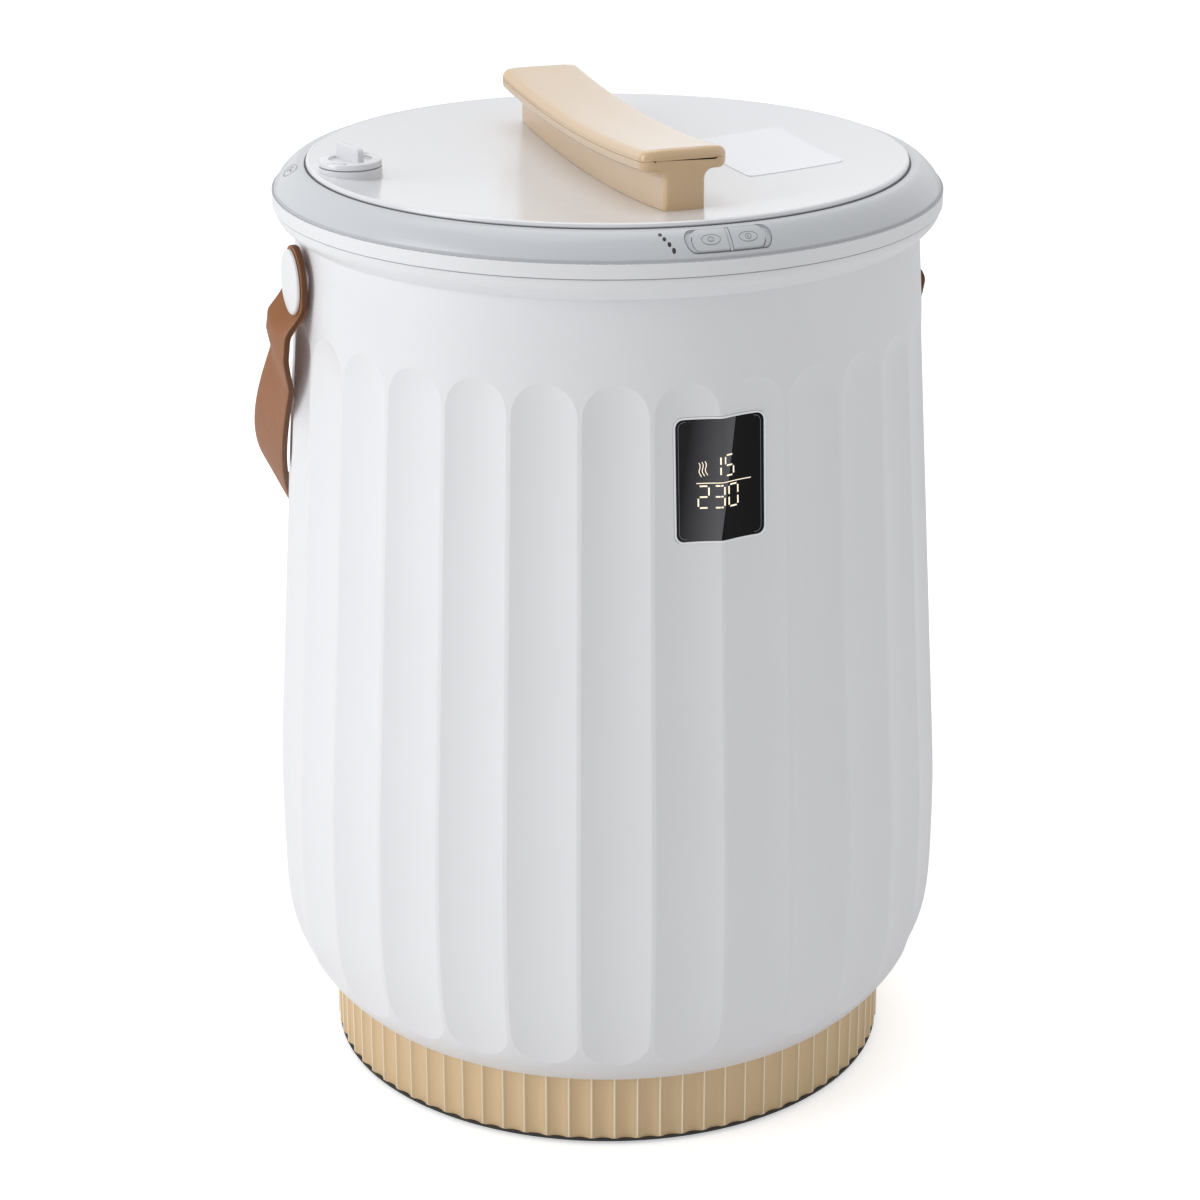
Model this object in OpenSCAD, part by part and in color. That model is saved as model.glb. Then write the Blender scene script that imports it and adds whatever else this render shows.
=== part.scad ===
// Towel warmer bucket: fluted body on a ribbed base, lift-off lid with a handle
// and a scent capsule, two rim buttons, a display window and a swinging strap.
// Millimetres, Z up, front towards -Y, the table is z = 0.

/* [Overall] */
// height of the lid's upper edge above the table
edge_z = 413; // [400:1:430]
// widest diameter of the body
body_d = 301; // [297:0.5:302]
// diameter of the body just under the rim
neck_d = 268.6; // [267:0.2:270]
// outer diameter of the ribbed base
base_d = 256; // [254:0.5:260]
// height of the ribbed base
base_h = 31; // [28:0.5:34]
// how far the feet hold the base off the table
foot_h = 3; // [2:0.1:4]

/* [Body] */
// number of flutes round the body
flutes = 30; // [24:6:36]
// depth of a flute at its middle
flute_depth = 2.4; // [1.5:0.1:3]
// width of the land between two flutes
land_w = 1.8; // [1.2:0.1:3]
// wall behind the deepest part of a flute
body_wall = 2.2; // [1.8:0.1:2.6]
// distance from the lid edge down to the top of the flutes
flute_drop = 63; // [60:1:70]
// height of the bottom of the flutes above the top of the base
flute_lift = 13; // [11:0.5:16]
// ribs round the base
base_ribs = 80; // [60:2:90]
// depth of the hollows between the ribs
rib_depth = 1.9; // [1.2:0.1:2.2]
// angle of the base screws from the middle of the side
boss_a = 22.5; // [18:0.5:27]

/* [Rim] */
// outer diameter of the grey rim ring
rim_d = 285.2; // [284:0.2:287]
// how far the white collar stands out past the grey ring
collar_out = 1.2; // [0.8:0.1:1.6]
// drop of the grey ring from its inner to its outer edge
rim_fall = 10.4; // [9:0.2:11]
// inner diameter of the collar ledge under the lid
mouth_d = 242; // [240:0.5:243]

/* [Lid] */
// diameter of the lid
lid_d = 258; // [257:0.2:259]
// gap between the lid and the rim, all round
lid_gap = 0.6; // [0.4:0.1:0.8]
// how far the lid edge stands above the rim
lid_proud = 2; // [1:0.2:3]
// depth of the dish in the lid
dish = 9; // [7:0.5:9.5]
// length of the lid handle
handle_l = 188; // [150:1:195]
// width of the handle's upper part
handle_w = 37; // [28:0.5:38]
// width of the handle's foot
web_w = 17.5; // [14:0.5:18]
// height of the handle above the lid
handle_h = 25; // [23:0.5:30]

// width of the bare label on the lid
label_w = 44; // [38:1:48]
// length of the bare label on the lid
label_l = 75; // [60:1:80]

/* [Heater and control] */
// height of the heater band round the bucket
heater_h = 160; // [120:5:200]
// width of the control board
board_w = 116; // [90:1:120]
// radius of the posts under the bucket
post_r = 5; // [4:0.2:6]

/* [Scent capsule] */
// diameter of the capsule's cap
cap_d = 26.6; // [25:0.2:28]
// distance of the capsule from the axis, to the side
cap_x = 112; // [111:0.5:113]
// distance of the capsule behind the axis
cap_y = 6; // [0:0.5:8]
// diameter of the capsule's cup
cup_d = 16.4; // [15:0.2:17]
// running clearance of the cup in its sleeve
cup_fit = 0.08; // [0.05:0.01:0.1]

/* [Buttons and display] */
// half the angle that the recess of the two buttons takes up
button_a = 7.4; // [6.5:0.1:8.5]
// angle of the buttons' middle, from the front towards the right
button_mid = 0.6; // [-2:0.1:2]
// width of the button recess, towards the axis
button_w = 7.4; // [7:0.1:7.6]
// distance of the buttons' middle from the ring's outer edge
button_in = 4.7; // [4.6:0.1:5]
// how far a button ends before the end of its recess, as an angle
button_end = 1; // [0.8:0.1:1.4]
// depth of the recess beside the buttons
recess_h = 0.9; // [0.6:0.1:1]
// gap between a button and the recess
button_gap = 0.25; // [0.2:0.05:0.3]
// travel of a button
button_travel = 1.2; // [0.8:0.1:1.2]
// width of the display window
window_w = 39.5; // [34:0.5:42]
// height of the display window
window_h = 52; // [46:1:56]
// drop of the window's middle below the lid edge
window_drop = 104; // [98:1:110]

/* [Strap] */
// width of the strap
strap_w = 31; // [26:0.5:33]
// thickness of the strap
strap_t = 2.8; // [2.4:0.1:3]
// drop of the strap's pivots below the lid edge
pivot_drop = 45; // [44:0.5:46]
// radius of the pivot pins
pin_r = 3; // [2.5:0.1:3.5]
// running clearance of the strap on its pins
pin_fit = 0.06; // [0.04:0.01:0.1]
// angle at which the strap leaves the pivot, from straight down
strap_lean = 8; // [7:0.5:10]
// drop of the strap's middle, behind the body, below its pivots
strap_drop = 172.5; // [168:0.5:176]
// how far the strap's middle stands off the back of the body
strap_off = 11; // [10.5:0.1:13]
// how far the strap passes clear of the collar when it swings
strap_clear = 0.8; // [0.6:0.1:1.2]

/* [Hidden] */
$fn = 96;
e = 0.01;
neck_r = neck_d/2; belly_r = body_d/2; base_r = base_d/2;
rim_r = rim_d/2; collar_r = rim_r + collar_out; lid_r = lid_d/2; bore_r = lid_r + lid_gap;
mouth_r = mouth_d/2; cap_r = cap_d/2; cup_r = cup_d/2;
body_z = foot_h + base_h; belly_z = body_z + 84; foot_r = base_r + 1.6;
rim_top = edge_z - lid_proud; rim_bot = rim_top - rim_fall; ledge_z = edge_z - 17.4;
floor_t = 2.6; board_t = 1.6; neck_z = edge_z - 29;
flute_top = edge_z - flute_drop; flute_bot = body_z + flute_lift;
pivot_z = edge_z - pivot_drop; window_z = edge_z - window_drop;
dish_r = (lid_r*lid_r + dish*dish)/(2*dish); dish_z = edge_z - dish + dish_r;
pitch = 360/flutes; in_neck = neck_r - 3.1; panel_t = 2.6;
slope = (belly_r - neck_r)/(neck_z - belly_z - 15);
function outer_r(z) = z < belly_z
  ? belly_r - (belly_r - foot_r)*pow(1 - max(0, z - body_z)/(belly_z - body_z), 4.3)
  : let (d = z - belly_z) d < 30 ? belly_r - slope*d*d/60 : belly_r - slope*(d - 15);
function half_w(z) = PI*outer_r(z)/flutes - land_w/2;
function hollow(a, z) = let (w = half_w(z), x = outer_r(z)*a*PI/180,
  dz = z < flute_bot + 14 ? flute_bot + 14 - z : z > flute_top - 14 ? z - flute_top + 14 : 0,
  q = (x*x + dz*dz*pow(w/14, 2))/(w*w)) q >= 1 ? 0 : flute_depth*(1 - q);
function skin_r(a, z) = outer_r(z) - hollow(a, z);
function bez(a, b, c, d, t) = pow(1-t, 3)*a + 3*t*pow(1-t, 2)*b + 3*t*t*(1-t)*c + t*t*t*d;
function lid_top(r) = dish_z - sqrt(dish_r*dish_r - r*r);
function dish_line(u, r1 = lid_r - 1.8) = [for (k = [0:24]) [r1*k/24, lid_top(r1*k/24) + u]];
function back(v) = [for (k = [len(v)-1:-1:0]) v[k]];
function loops(n, m) = [for (j = [0:m-1]) for (i = [0:n-1])
  let (a = j*n + i, b = j*n + (i+1)%n, c = ((j+1)%m)*n + (i+1)%n, d = ((j+1)%m)*n + i)
  each [[a, c, b], [a, d, c]]];

white = [0.93, 0.93, 0.94]; grey = [0.77, 0.79, 0.81]; tan_c = [0.85, 0.72, 0.54];
black = [0.06, 0.06, 0.07]; steel = [0.7, 0.7, 0.72]; board = [0.1, 0.35, 0.2];
leather = [0.6, 0.4, 0.27]; rubber = [0.12, 0.12, 0.12]; metal = [0.82, 0.83, 0.84];

module ringp(pts) { rotate_extrude($fn = 180) polygon(pts); }
module disc(r, z, h) { translate([0, 0, z]) cylinder(r = r, h = h, $fn = 180); }
module pin(p, r, h) { translate(p) cylinder(r = r, h = h, $fn = 32); }
module xpin(x, z, r, h) { translate([x, 0, z]) rotate([0, 90, 0]) cylinder(r = r, h = h, $fn = 48); }
module four(r, a0 = 45) { for (k = [0:3]) rotate(a0 + 90*k) translate([r, 0, 0]) children(); }
function rrect(w, h, r, n = 6) = [for (q = [[1, 1, 0], [-1, 1, 90], [-1, -1, 180], [1, -1, 270]])
  for (k = [0:n]) let (a = q[2] + 90*k/n) [q[0]*(w/2 - r) + r*cos(a), q[1]*(h/2 - r) + r*sin(a)]];

// body
module body_shell() {
  w = pitch/2 - 180*land_w/2/(PI*belly_r) - 0.02;
  cols = [-w, -0.6*w, -0.2*w, 0.2*w, 0.6*w, w];
  fb = flute_bot; ft = flute_top;
  zo = [body_z, body_z + 3, body_z + 7, fb - 0.1, fb + 2, fb + 5, fb + 9, fb + 14, fb + 24,
    fb + 38, belly_z, belly_z + 30, ft - 14, ft - 9, ft - 5, ft - 2, ft + 0.1, neck_z];
  in_low = base_r - 7;
  zi = [[neck_z, in_neck], [ft + 4, in_neck], [ft - 14, 0], [belly_z + 30, 0], [belly_z, 0],
    [fb + 12, 0], [fb, in_low + 4.5], [body_z + 3, in_low + 3.4], [body_z + 3, in_low], [body_z, in_low]];
  ra = concat([for (z = zo) [for (i = [0:flutes-1]) for (c = cols)
      let (a = pitch*(i + 0.5) + c, r = skin_r(c, z)) [r*sin(a), -r*cos(a), z]]],
    [for (p = zi) [for (i = [0:flutes-1]) for (c = cols)
      let (a = pitch*(i + 0.5) + c, r = p[1] > 0 ? p[1] : outer_r(p[0]) - flute_depth - body_wall)
      [r*sin(a), -r*cos(a), p[0]]]]);
  color(white) difference() {
    polyhedron([for (r = ra) each r], loops(len(ra[0]), len(ra)));
    xpin(-neck_r - 10, pivot_z, pin_r, 2*neck_r + 20);
    window_block(0.15);
  }
}
module window_block(g) {
  translate([0, -outer_r(window_z), window_z]) rotate([90, 0, 0])
    translate([0, 0, -14]) linear_extrude(22) polygon(rrect(window_w + 2*g, window_h + 2*g, 4 + g));
}
module base_ring() {
  rs = (pow(PI*base_r/base_ribs, 2) + pow(rib_depth - 0.1, 2))/(2*(rib_depth - 0.1));
  color(tan_c) difference() {
    intersection() {
      translate([0, 0, foot_h]) linear_extrude(base_h) difference() {
        circle(r = base_r, $fn = 180);
        for (k = [0:base_ribs-1]) rotate(360*(k + 0.5)/base_ribs)
          translate([base_r + rs - rib_depth, 0]) circle(r = rs, $fn = 64);
      }
      ringp([[0, foot_h - 1], [base_r - 1, foot_h - 1], [base_r - 0.8, foot_h], [base_r, foot_h + 0.8],
        [base_r, body_z - 0.8], [base_r - 0.8, body_z], [base_r - 1, body_z + 1], [0, body_z + 1]]);
    }
    disc(base_r - 7, foot_h - 1, base_h - 2);
    disc(base_r - 16, foot_h, base_h + 2);
    four(base_r - 11.5) pin([0, 0, body_z - 5], 1.9, 10);
    translate([0, base_r - 12, foot_h + 14]) rotate([-90, 0, 0]) cylinder(r = 5, h = 20, $fn = 48);
  }
  color(tan_c) four(base_r - 11.5, boss_a) difference() {
    pin([0, 0, foot_h + 2.4], 4.6, base_h - 5);
    pin([0, 0, foot_h + 1], 1.5, 12);
  }
}
module base_plate() {
  color(black) difference() {
    union() { disc(base_r - 0.6, foot_h - 1.2, 1.2); disc(base_r - 7.3, foot_h - 0.2, 2.6); }
    four(base_r - 11.5, boss_a) { pin([0, 0, 0], 1.7, 20); pin([0, 0, 0], 3.2, foot_h); }
    four(base_r - 26) pin([0, 0, 0], 3, 20);
    for (k = [-4:4]) translate([9*k - 1.5, -30, 0]) cube([3, 60, 10]);
  }
}
module base_screws() {
  color(steel) four(base_r - 11.5, boss_a) difference() {
    union() { pin([0, 0, foot_h - 0.9], 3, 0.9); pin([0, 0, foot_h - 0.1], 1.5, 11); }
    translate([-0.4, -2, 0]) cube([0.8, 4, foot_h - 0.5]);
  }
}
module rubber_feet() {
  color(rubber) four(base_r - 26) {
    pin([0, 0, 0], 9, foot_h - 1.2);
    pin([0, 0, foot_h - 1.3], 2.95, 4.6);
    pin([0, 0, foot_h + 2.4], 4, 1.2);
  }
}
module cord_gland() {
  color(black) translate([0, base_r - 9, foot_h + 14]) rotate([-90, 0, 0]) difference() {
    union() {
      cylinder(r = 4.95, h = 11, $fn = 48);
      cylinder(r = 7, h = 1.6, $fn = 48);
      translate([0, 0, 9]) cylinder(r = 6.4, h = 1.6, $fn = 48);
      cylinder(r = 3.8, h = 14, $fn = 48);
    }
    translate([0, 0, -1]) cylinder(r = 2.6, h = 30, $fn = 32);
  }
}
// inside
chassis_z = body_z + 3; pot_z = chassis_z + 36; pot_r = mouth_r - 2.7; pot_top = ledge_z - floor_t;
module chassis() {
  color(white) difference() {
    union() { disc(base_r - 7.2, body_z, 3); disc(base_r - 4.6, chassis_z, 2.4);
      four(base_r - 11.5) pin([0, 0, body_z], 4.6, 14);
      four(70, 0) pin([0, 0, body_z], 3.5, 12); }
    four(base_r - 11.5) pin([0, 0, body_z - 1], 1.5, 13);
    four(70, 0) pin([0, 0, body_z + 5], 1.2, 10);
    pin([0, base_r - 26, body_z - 1], 8, 10);
  }
}
module chassis_screws() {
  color(steel) four(base_r - 11.5) { pin([0, 0, body_z - 5], 3.1, 2);
    pin([0, 0, body_z - 3.1], 1.5, 14); }
}
module bucket_posts() {
  color(steel) four(86) difference() {
    pin([0, 0, chassis_z + 2.4], post_r, pot_z - chassis_z - 2.4);
    pin([0, 0, chassis_z], 1.6, 12);
  }
}
module inner_bucket() {
  color(metal) ringp([[0, pot_z], [pot_r - 6, pot_z], [pot_r + 1.2, pot_z + 7.2],
    [pot_r + 1.2, pot_top - 1.2], [mouth_r + 6, pot_top - 1.2], [mouth_r + 6, pot_top], [pot_r,
        pot_top], [pot_r, pot_z + 7.6],
    [pot_r - 6.4, pot_z + 1.2], [0, pot_z + 1.2]]);
}
module heater_band() {
  r = pot_r + 1.2; z = pot_z + 40;
  color([0.75, 0.45, 0.2]) difference() {
    ringp([[r, z], [r + 1.2, z], [r + 1.2, z + heater_h], [r, z + heater_h]]);
    translate([-4, 0, z - 10]) cube([8, 200, heater_h + 20]);
  }
}
module insulation() {
  color([0.8, 0.8, 0.76]) difference() {
    ringp([[pot_r + 2.45, pot_z + 20], [pot_r + 5.4, pot_z + 20],
      [pot_r + 5.4, pot_top - 16], [pot_r + 2.45, pot_top - 16]]);
    translate([-window_w/2 - 6, -belly_r, window_z - window_h/2 - 6])
      cube([window_w + 12, belly_r - 20, window_h + 12]);
  }
}
module thermostat() {
  color(steel) translate([30, 0, 0]) { pin([0, 0, pot_z - 3], 11, 3); pin([0, 0, pot_z - 9], 8, 6.1);
    for (s = [-1, 1]) translate([s*4 - 0.4, -3, pot_z - 15]) cube([0.8, 6, 6.1]); }
}
module thermal_fuse() {
  color(white) translate([-30, 0, pot_z - 4]) rotate([90, 0, 0]) union() {
    translate([0, 0, -8]) cylinder(r = 2.4, h = 16, $fn = 32);
    translate([-3, 1.6, -5]) cube([6, 2.4, 10]); }
}
module control_board() {
  color(board) difference() {
    translate([-board_w/2, -board_w/2, body_z + 12]) cube([board_w, board_w, board_t]);
    for (s = [-1, 1]) for (t = [-1, 1]) pin([(board_w/2 - 6)*s, (board_w/2 - 6)*t, -1], 12, 100);
    four(70, 0) pin([0, 0, 0], 16.6, 100);
  }
  color(board) four(70, 0) difference() {
    translate([-20, -6, body_z + 12]) cube([26, 12, board_t]);
    pin([0, 0, 0], 1.2, 100);
  }
}
module board_screws() {
  color(steel) four(70, 0) { pin([0, 0, body_z + 13.6], 2.4, 1.6); pin([0, 0, body_z + 6], 1.2, 7.7); }
}
module board_parts() {
  bz = body_z + 13.6;
  color([0.15, 0.3, 0.6]) translate([-22, 18, bz]) cube([20, 16, 15]);
  color(black) translate([8, 20, bz]) cube([18, 13, 10]);
  color([0.3, 0.3, 0.32]) { pin([-20, -20, bz], 6, 17); pin([0, -24, bz], 4, 12); }
  color(white) translate([14, -30, bz]) cube([20, 7, 7]);
}
// rim
module rim_collar() {
  z = ledge_z; n = neck_z; c = collar_r;
  flare = [for (k = [0:10]) bez([c - 0.7, z - 1.2], [c - 0.9, z - 6.4], [c - 4.6, z - 8.6],
    [neck_r + 0.6, n], k/10)];
  color(white) ringp(concat([[c, rim_bot], [c, z - 1.0]], flare, [[neck_r - 3.15, n], [neck_r - 3.15, n - 6],
    [neck_r - 5.5, n - 6], [neck_r - 5.5, z - floor_t], [mouth_r, z - floor_t], [mouth_r, z],
    [c - 1.9, z], [c - 1.9, rim_bot]]));
}
function rim_line(u = 0) = let (w = 9.8, f = rim_fall) concat([[bore_r, rim_top - 0.5 + u],
  [bore_r + 0.15, rim_top - 0.15 + u], [bore_r + 0.6, rim_top + u]],
  [for (k = [0:12]) bez([rim_r - w, rim_top + u], [rim_r - 0.7*w, rim_top - 0.02*f + u],
    [rim_r - 0.2*w, rim_top - 0.5*f + u], [rim_r, rim_top - 0.88*f + u], k/12)]);
module rim_ring() {
  f = rim_fall;
  color(grey) difference() {
    ringp(concat([[bore_r, ledge_z]], rim_line(), [[rim_r, rim_bot], [rim_r - 2.4, rim_bot],
      [rim_r - 2.6, rim_top - 0.85*f], [rim_r - 3.6, rim_top - 0.69*f], [rim_r - 5.8, rim_top - 0.48*f],
      [rim_r - 8.2, rim_top - 0.31*f], [rim_r - 10, rim_top - 0.23*f], [bore_r + 2.2, rim_top - 0.23*f],
      [bore_r + 2.2, ledge_z]]));
    difference() {
      union() {
        translate([0, 0, ledge_z + 1]) linear_extrude(40) bean(button_a - button_end, 0);
        intersection() {
          translate([0, 0, ledge_z + 1]) linear_extrude(40) bean(button_a, -0.1);
          ringp(concat([[bore_r, edge_z]], rim_line(-recess_h), [[rim_r, edge_z]]));
        }
      }
      rotate(button_mid) translate([-0.6, -rim_r, 0]) cube([1.2, 30, 500]);
    }
    dots(0, 0, 60);
  }
}
button_r = rim_r - button_in; button_low = 4.7;
module wedge(a, b, r) {
  m = (a + b)/2; q = r/cos((b - a)/2);
  polygon([[0, 0], [r*sin(a), -r*cos(a)], [q*sin(m), -q*cos(m)], [r*sin(b), -r*cos(b)]]);
}
function polar(r, a) = [r*sin(a), -r*cos(a)];
function bean_end(a, h, k0) = [for (k = [k0:k0+6])
  polar(button_r, a) + h*(cos(22.5*k)*polar(1, a) + sin(22.5*k)*[cos(a), sin(a)])];
function bean_line(a, b, g) = let (h = button_w/2 - g, t = 90*button_w/(PI*button_r), p = a + t, q = b - t)
  concat([for (k = [0:16]) polar(button_r + h, p + (q - p)*k/16)], bean_end(q, h, 1),
    [for (k = [16:-1:0]) polar(button_r - h, p + (q - p)*k/16)], bean_end(p, h, 9));
module bean(a, g) { rotate(button_mid) polygon(bean_line(-a, a, g)); }
module button(s) {
  low = ledge_z + button_low;
  color(grey) intersection() {
    ringp(concat([[bore_r, low]], rim_line(0.35), [[rim_r, low]]));
    translate([0, 0, low - 1]) linear_extrude(40) intersection() {
      bean(button_a - button_end, button_gap);
      rotate(button_mid) translate([s > 0 ? 0.6 + button_gap : -60, -rim_r - 5])
        square([59.4 - button_gap, 60]);
    }
  }
}
module power_button() { button(-1); }
module timer_button() { button(1); }
dot_a = [-10.8, -10.2, -9.5, -8.9]; function dot_r(k) = rim_r - 7 + 1.75*k;
module dots(g, z0, h) {
  for (k = [0:3]) rotate(dot_a[k]) translate([0, -dot_r(k), ledge_z + 2.5 + z0])
    cylinder(r = 0.75 - g, h = h, $fn = 24);
}
module indicator_lenses() {
  color(black) intersection() {
    ringp(concat([[bore_r, ledge_z]], rim_line(0.05), [[rim_r, ledge_z]]));
    dots(0, 0.0, 30);
  }
}
module sector(a, b, r1, r2) {
  intersection() { difference() { circle(r = r2, $fn = 180); circle(r = r1, $fn = 180); } wedge(a, b,
      r2 + 20); }
}
module button_board() {
  color(board) translate([0, 0, ledge_z]) linear_extrude(board_t)
    sector(-13, 11, bore_r + 2.5, collar_r - 2.2);
}
module button_switches() {
  color(black) for (s = [-1, 1]) rotate(button_mid + 3.6*s) translate([0, -button_r, ledge_z + board_t]) {
    translate([-3, -3, 0]) cube([6, 6, 1.2]);
    cylinder(r = 1.6, h = button_low - board_t - button_travel - 0.15, $fn = 32);
  }
}
module indicator_leds() {
  color(white) for (k = [0:3]) rotate(dot_a[k])
    translate([-0.8, -dot_r(k) - 0.7, ledge_z + board_t]) cube([1.6, 1.4, 0.9]);
}
// display
module display_window() {
  na = 12; nz = 8; am = 180*(window_w/2 + 2)/(PI*(outer_r(window_z) + 0.5)); z0 = window_z - window_h/2 - 1;
  function pt(i, j, d) = let (a = -am + 2*am*i/na, z = z0 + (window_h + 2)*j/nz,
    c = a - pitch*(a < 0 ? -0.5 : 0.5), r = skin_r(c, z) - d) [r*sin(a), -r*cos(a), z];
  ra = [for (j = [0:nz]) concat([for (i = [0:na]) pt(i, j, 0.05)], [for (i = [na:-1:0]) pt(i, j, 2.2)])];
  n = 2*na + 2;
  color(black) intersection() {
    polyhedron([for (r = ra) each r], concat(
      [for (j = [0:nz-1]) for (i = [0:n-1]) let (a = j*n + i, b = j*n + (i+1)%n, c = a + n, d = b + n)
        each [[a, d, b], [a, c, d]]],
      [for (i = [0:na-1]) each [[i, i+1, n-2-i], [i, n-2-i, n-1-i]]],
      [for (i = [0:na-1]) let (k = nz*n) each [[k+i, k+n-2-i, k+i+1], [k+i, k+n-1-i, k+n-2-i]]]));
    window_block(0);
  }
}
module display_frame() {
  y = -(outer_r(window_z + window_h/2) - flute_depth - body_wall) + 1.2;
  color(black) difference() {
    translate([-window_w/2 - 4, y, window_z - window_h/2 - 4]) cube([window_w + 8, 6.4, window_h + 8]);
    translate([-window_w/2 + 3, y - 1, window_z - window_h/2 + 3]) cube([window_w - 6, 9, window_h - 6]);
    difference() { disc(belly_r + 20, window_z - 60, 120);
      rotate_extrude($fn = 180) polygon([[0, window_z - 60],
        [outer_r(window_z - 40) - flute_depth - body_wall - 0.1, window_z - 40],
        [outer_r(window_z + 40) - flute_depth - body_wall - 0.1, window_z + 40], [0, window_z + 60]]); }
  }
}
module display_board() {
  y = -(outer_r(window_z + window_h/2) - flute_depth - body_wall) + 7.6;
  color(board) translate([-window_w/2 - 2, y, window_z - window_h/2 - 2]) cube([window_w + 4, 1.6,
      window_h + 4]);
  color(white) translate([-14, y - 4.6, window_z - 16]) cube([28, 4.65, 30]);
}
// strap: it hangs flat from its pivots, bulges just enough to swing past the collar and leans back
// round the body
strap_in = outer_r(pivot_z - strap_w/2) + 0.9; strap_far = collar_r + strap_clear; limb = 13; pull = 47;
back_z = pivot_z - strap_drop; back_y = outer_r(back_z) + strap_off; back_lean = 30;
hug_x = outer_r(pivot_z - 91) + 4.6; collar_drop = rim_bot - pivot_z + 0.4; cap_gap = 0.4; stud_r = 13.8;
function ease(u) = let (t = min(1, max(0, u))) t*t*(3 - 2*t);
function unit(v) = v/norm(v);
// how far out the strap's inner face has to be, at a distance from the pivot, to pass the collar
function reach(rho) = rho < collar_drop ? strap_in - 2 + (strap_far - strap_in + 2)*ease((rho - 12.8)/12.2)
  : sqrt(max(0, strap_far*strap_far + collar_drop*collar_drop - rho*rho));
function lift(x, rho) = rho > 70 ? 0 : let (g = reach(rho) - x) (g + sqrt(g*g + 0.36))/2;
down = [0, sin(strap_lean), -cos(strap_lean)]; side = [0, cos(strap_lean), sin(strap_lean)];
function path(u) = let (a = [-strap_in - strap_t/2, 0, pivot_z], p = a + limb*down, q = p + pull*down)
  u <= 0 ? a + (u + 1)*limb*down
  : bez(p, [-hug_x, q[1], q[2]], [-0.7*belly_r - 54.6, back_y, back_z], [0, back_y, back_z], u);
function along(u) = u <= 0 ? down : u >= 1 ? [1, 0, 0] : unit(path(u + 0.004) - path(u - 0.004));
function across(u) = let (f = ease(u), t = along(u), p = path(u), q = unit([p[0], p[1], 0]),
  w = (1 - f)*side + f*(sin(back_lean)*q + [0, 0, cos(back_lean)])) unit(w - (w*t)*t);
function half_width(u) = let (d = (u + 1)*limb) d < 0 ? sqrt(strap_w*strap_w/4 - d*d) : strap_w/2;
function spot(u, k) = let (d = (min(u, 0) + 1)*limb, p = path(u) + k*half_width(u)*across(u))
  p - [ease(d/6)*lift(-p[0] - strap_t/2, norm([p[1], p[2] - pivot_z])), 0, 0];
function strap_ring(u) = let (n = u <= 0 ? [-1, 0, 0] : unit(cross(across(u), along(u))), h = strap_t/2,
  f = 1 - 0.5/half_width(max(u, -1)), ks = [-f, -0.75, -0.5, 0, 0.5, 0.75, f])
  concat([for (k = ks) spot(u, k) + h*n], [spot(u, 1)], [for (k = back(ks)) spot(u, k) - h*n], [spot(u,
      -1)]);
module strap() {
  half = concat([for (a = [8:12:80]) -strap_w/2*cos(a)/limb - 1],
    [for (d = [0, 2, 4, 6, 8, 10, 11.5]) d/limb - 1], [0, 1/120], [for (k = [1:12]) k/60],
    [for (k = [5:20]) k/20]);
  rings = [for (u = half) strap_ring(u)];
  rest = [for (k = [len(half)-2:-1:0]) [for (q = rings[k]) [-q[0], q[1], q[2]]]];
  ra = concat(rings, rest); m = len(ra); n = len(ra[0]);
  color(leather) difference() {
    polyhedron([for (r = ra) each r], concat(
      [for (j = [0:m-2]) for (i = [0:n-1]) let (a = n*j + i, b = n*j + (i+1)%n, c = a + n, d = b + n)
        each [[a, d, b], [a, c, d]]],
      [for (i = [1:n-2]) [0, i, i+1]], [for (i = [1:n-2]) let (k = n*(m-1)) [k, k+i+1, k+i]]));
    xpin(-collar_r - 9, pivot_z, pin_r + pin_fit, 2*collar_r + 18);
  }
}
module neck_solid() {
  rotate_extrude($fn = 180) polygon([[0, neck_z - 34], [outer_r(neck_z - 34), neck_z - 34],
    [neck_r, neck_z], [0, neck_z]]);
}
module strap_washers() {
  color(steel) difference() {
    for (s = [-1, 1]) translate([s*(strap_in - 0.05), 0, pivot_z]) rotate([0, -90*s, 0])
      cylinder(r = 8, h = 5, $fn = 48);
    neck_solid();
    xpin(-collar_r - 9, pivot_z, pin_r, 2*collar_r + 18);
  }
}
module strap_pins() {
  x = strap_in + strap_t + cap_gap + 0.75;
  color(steel) for (s = [-1, 1]) translate([s*x, 0, pivot_z]) rotate([0, -90*s, 0]) {
    cylinder(r = pin_r, h = x - in_neck + 4.4, $fn = 48);
    translate([0, 0, x - in_neck + 0.2]) cylinder(r = 6, h = 3, $fn = 6);
  }
}
module strap_caps() {
  color(white) for (s = [-1, 1]) translate([s*(strap_in + strap_t + cap_gap), 0, pivot_z]) rotate([0,
      90*s, 0])
    difference() {
      rotate_extrude($fn = 96) polygon([[0, 0], [stud_r, 0], [stud_r, 0.9], [stud_r - 0.4, 1.4],
          [stud_r - 1.6, 1.8], [8, 2.1], [0, 2.2]]);
      translate([0, 0, -1]) cylinder(r = pin_r, h = 1.75, $fn = 48);
    }
}
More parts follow.
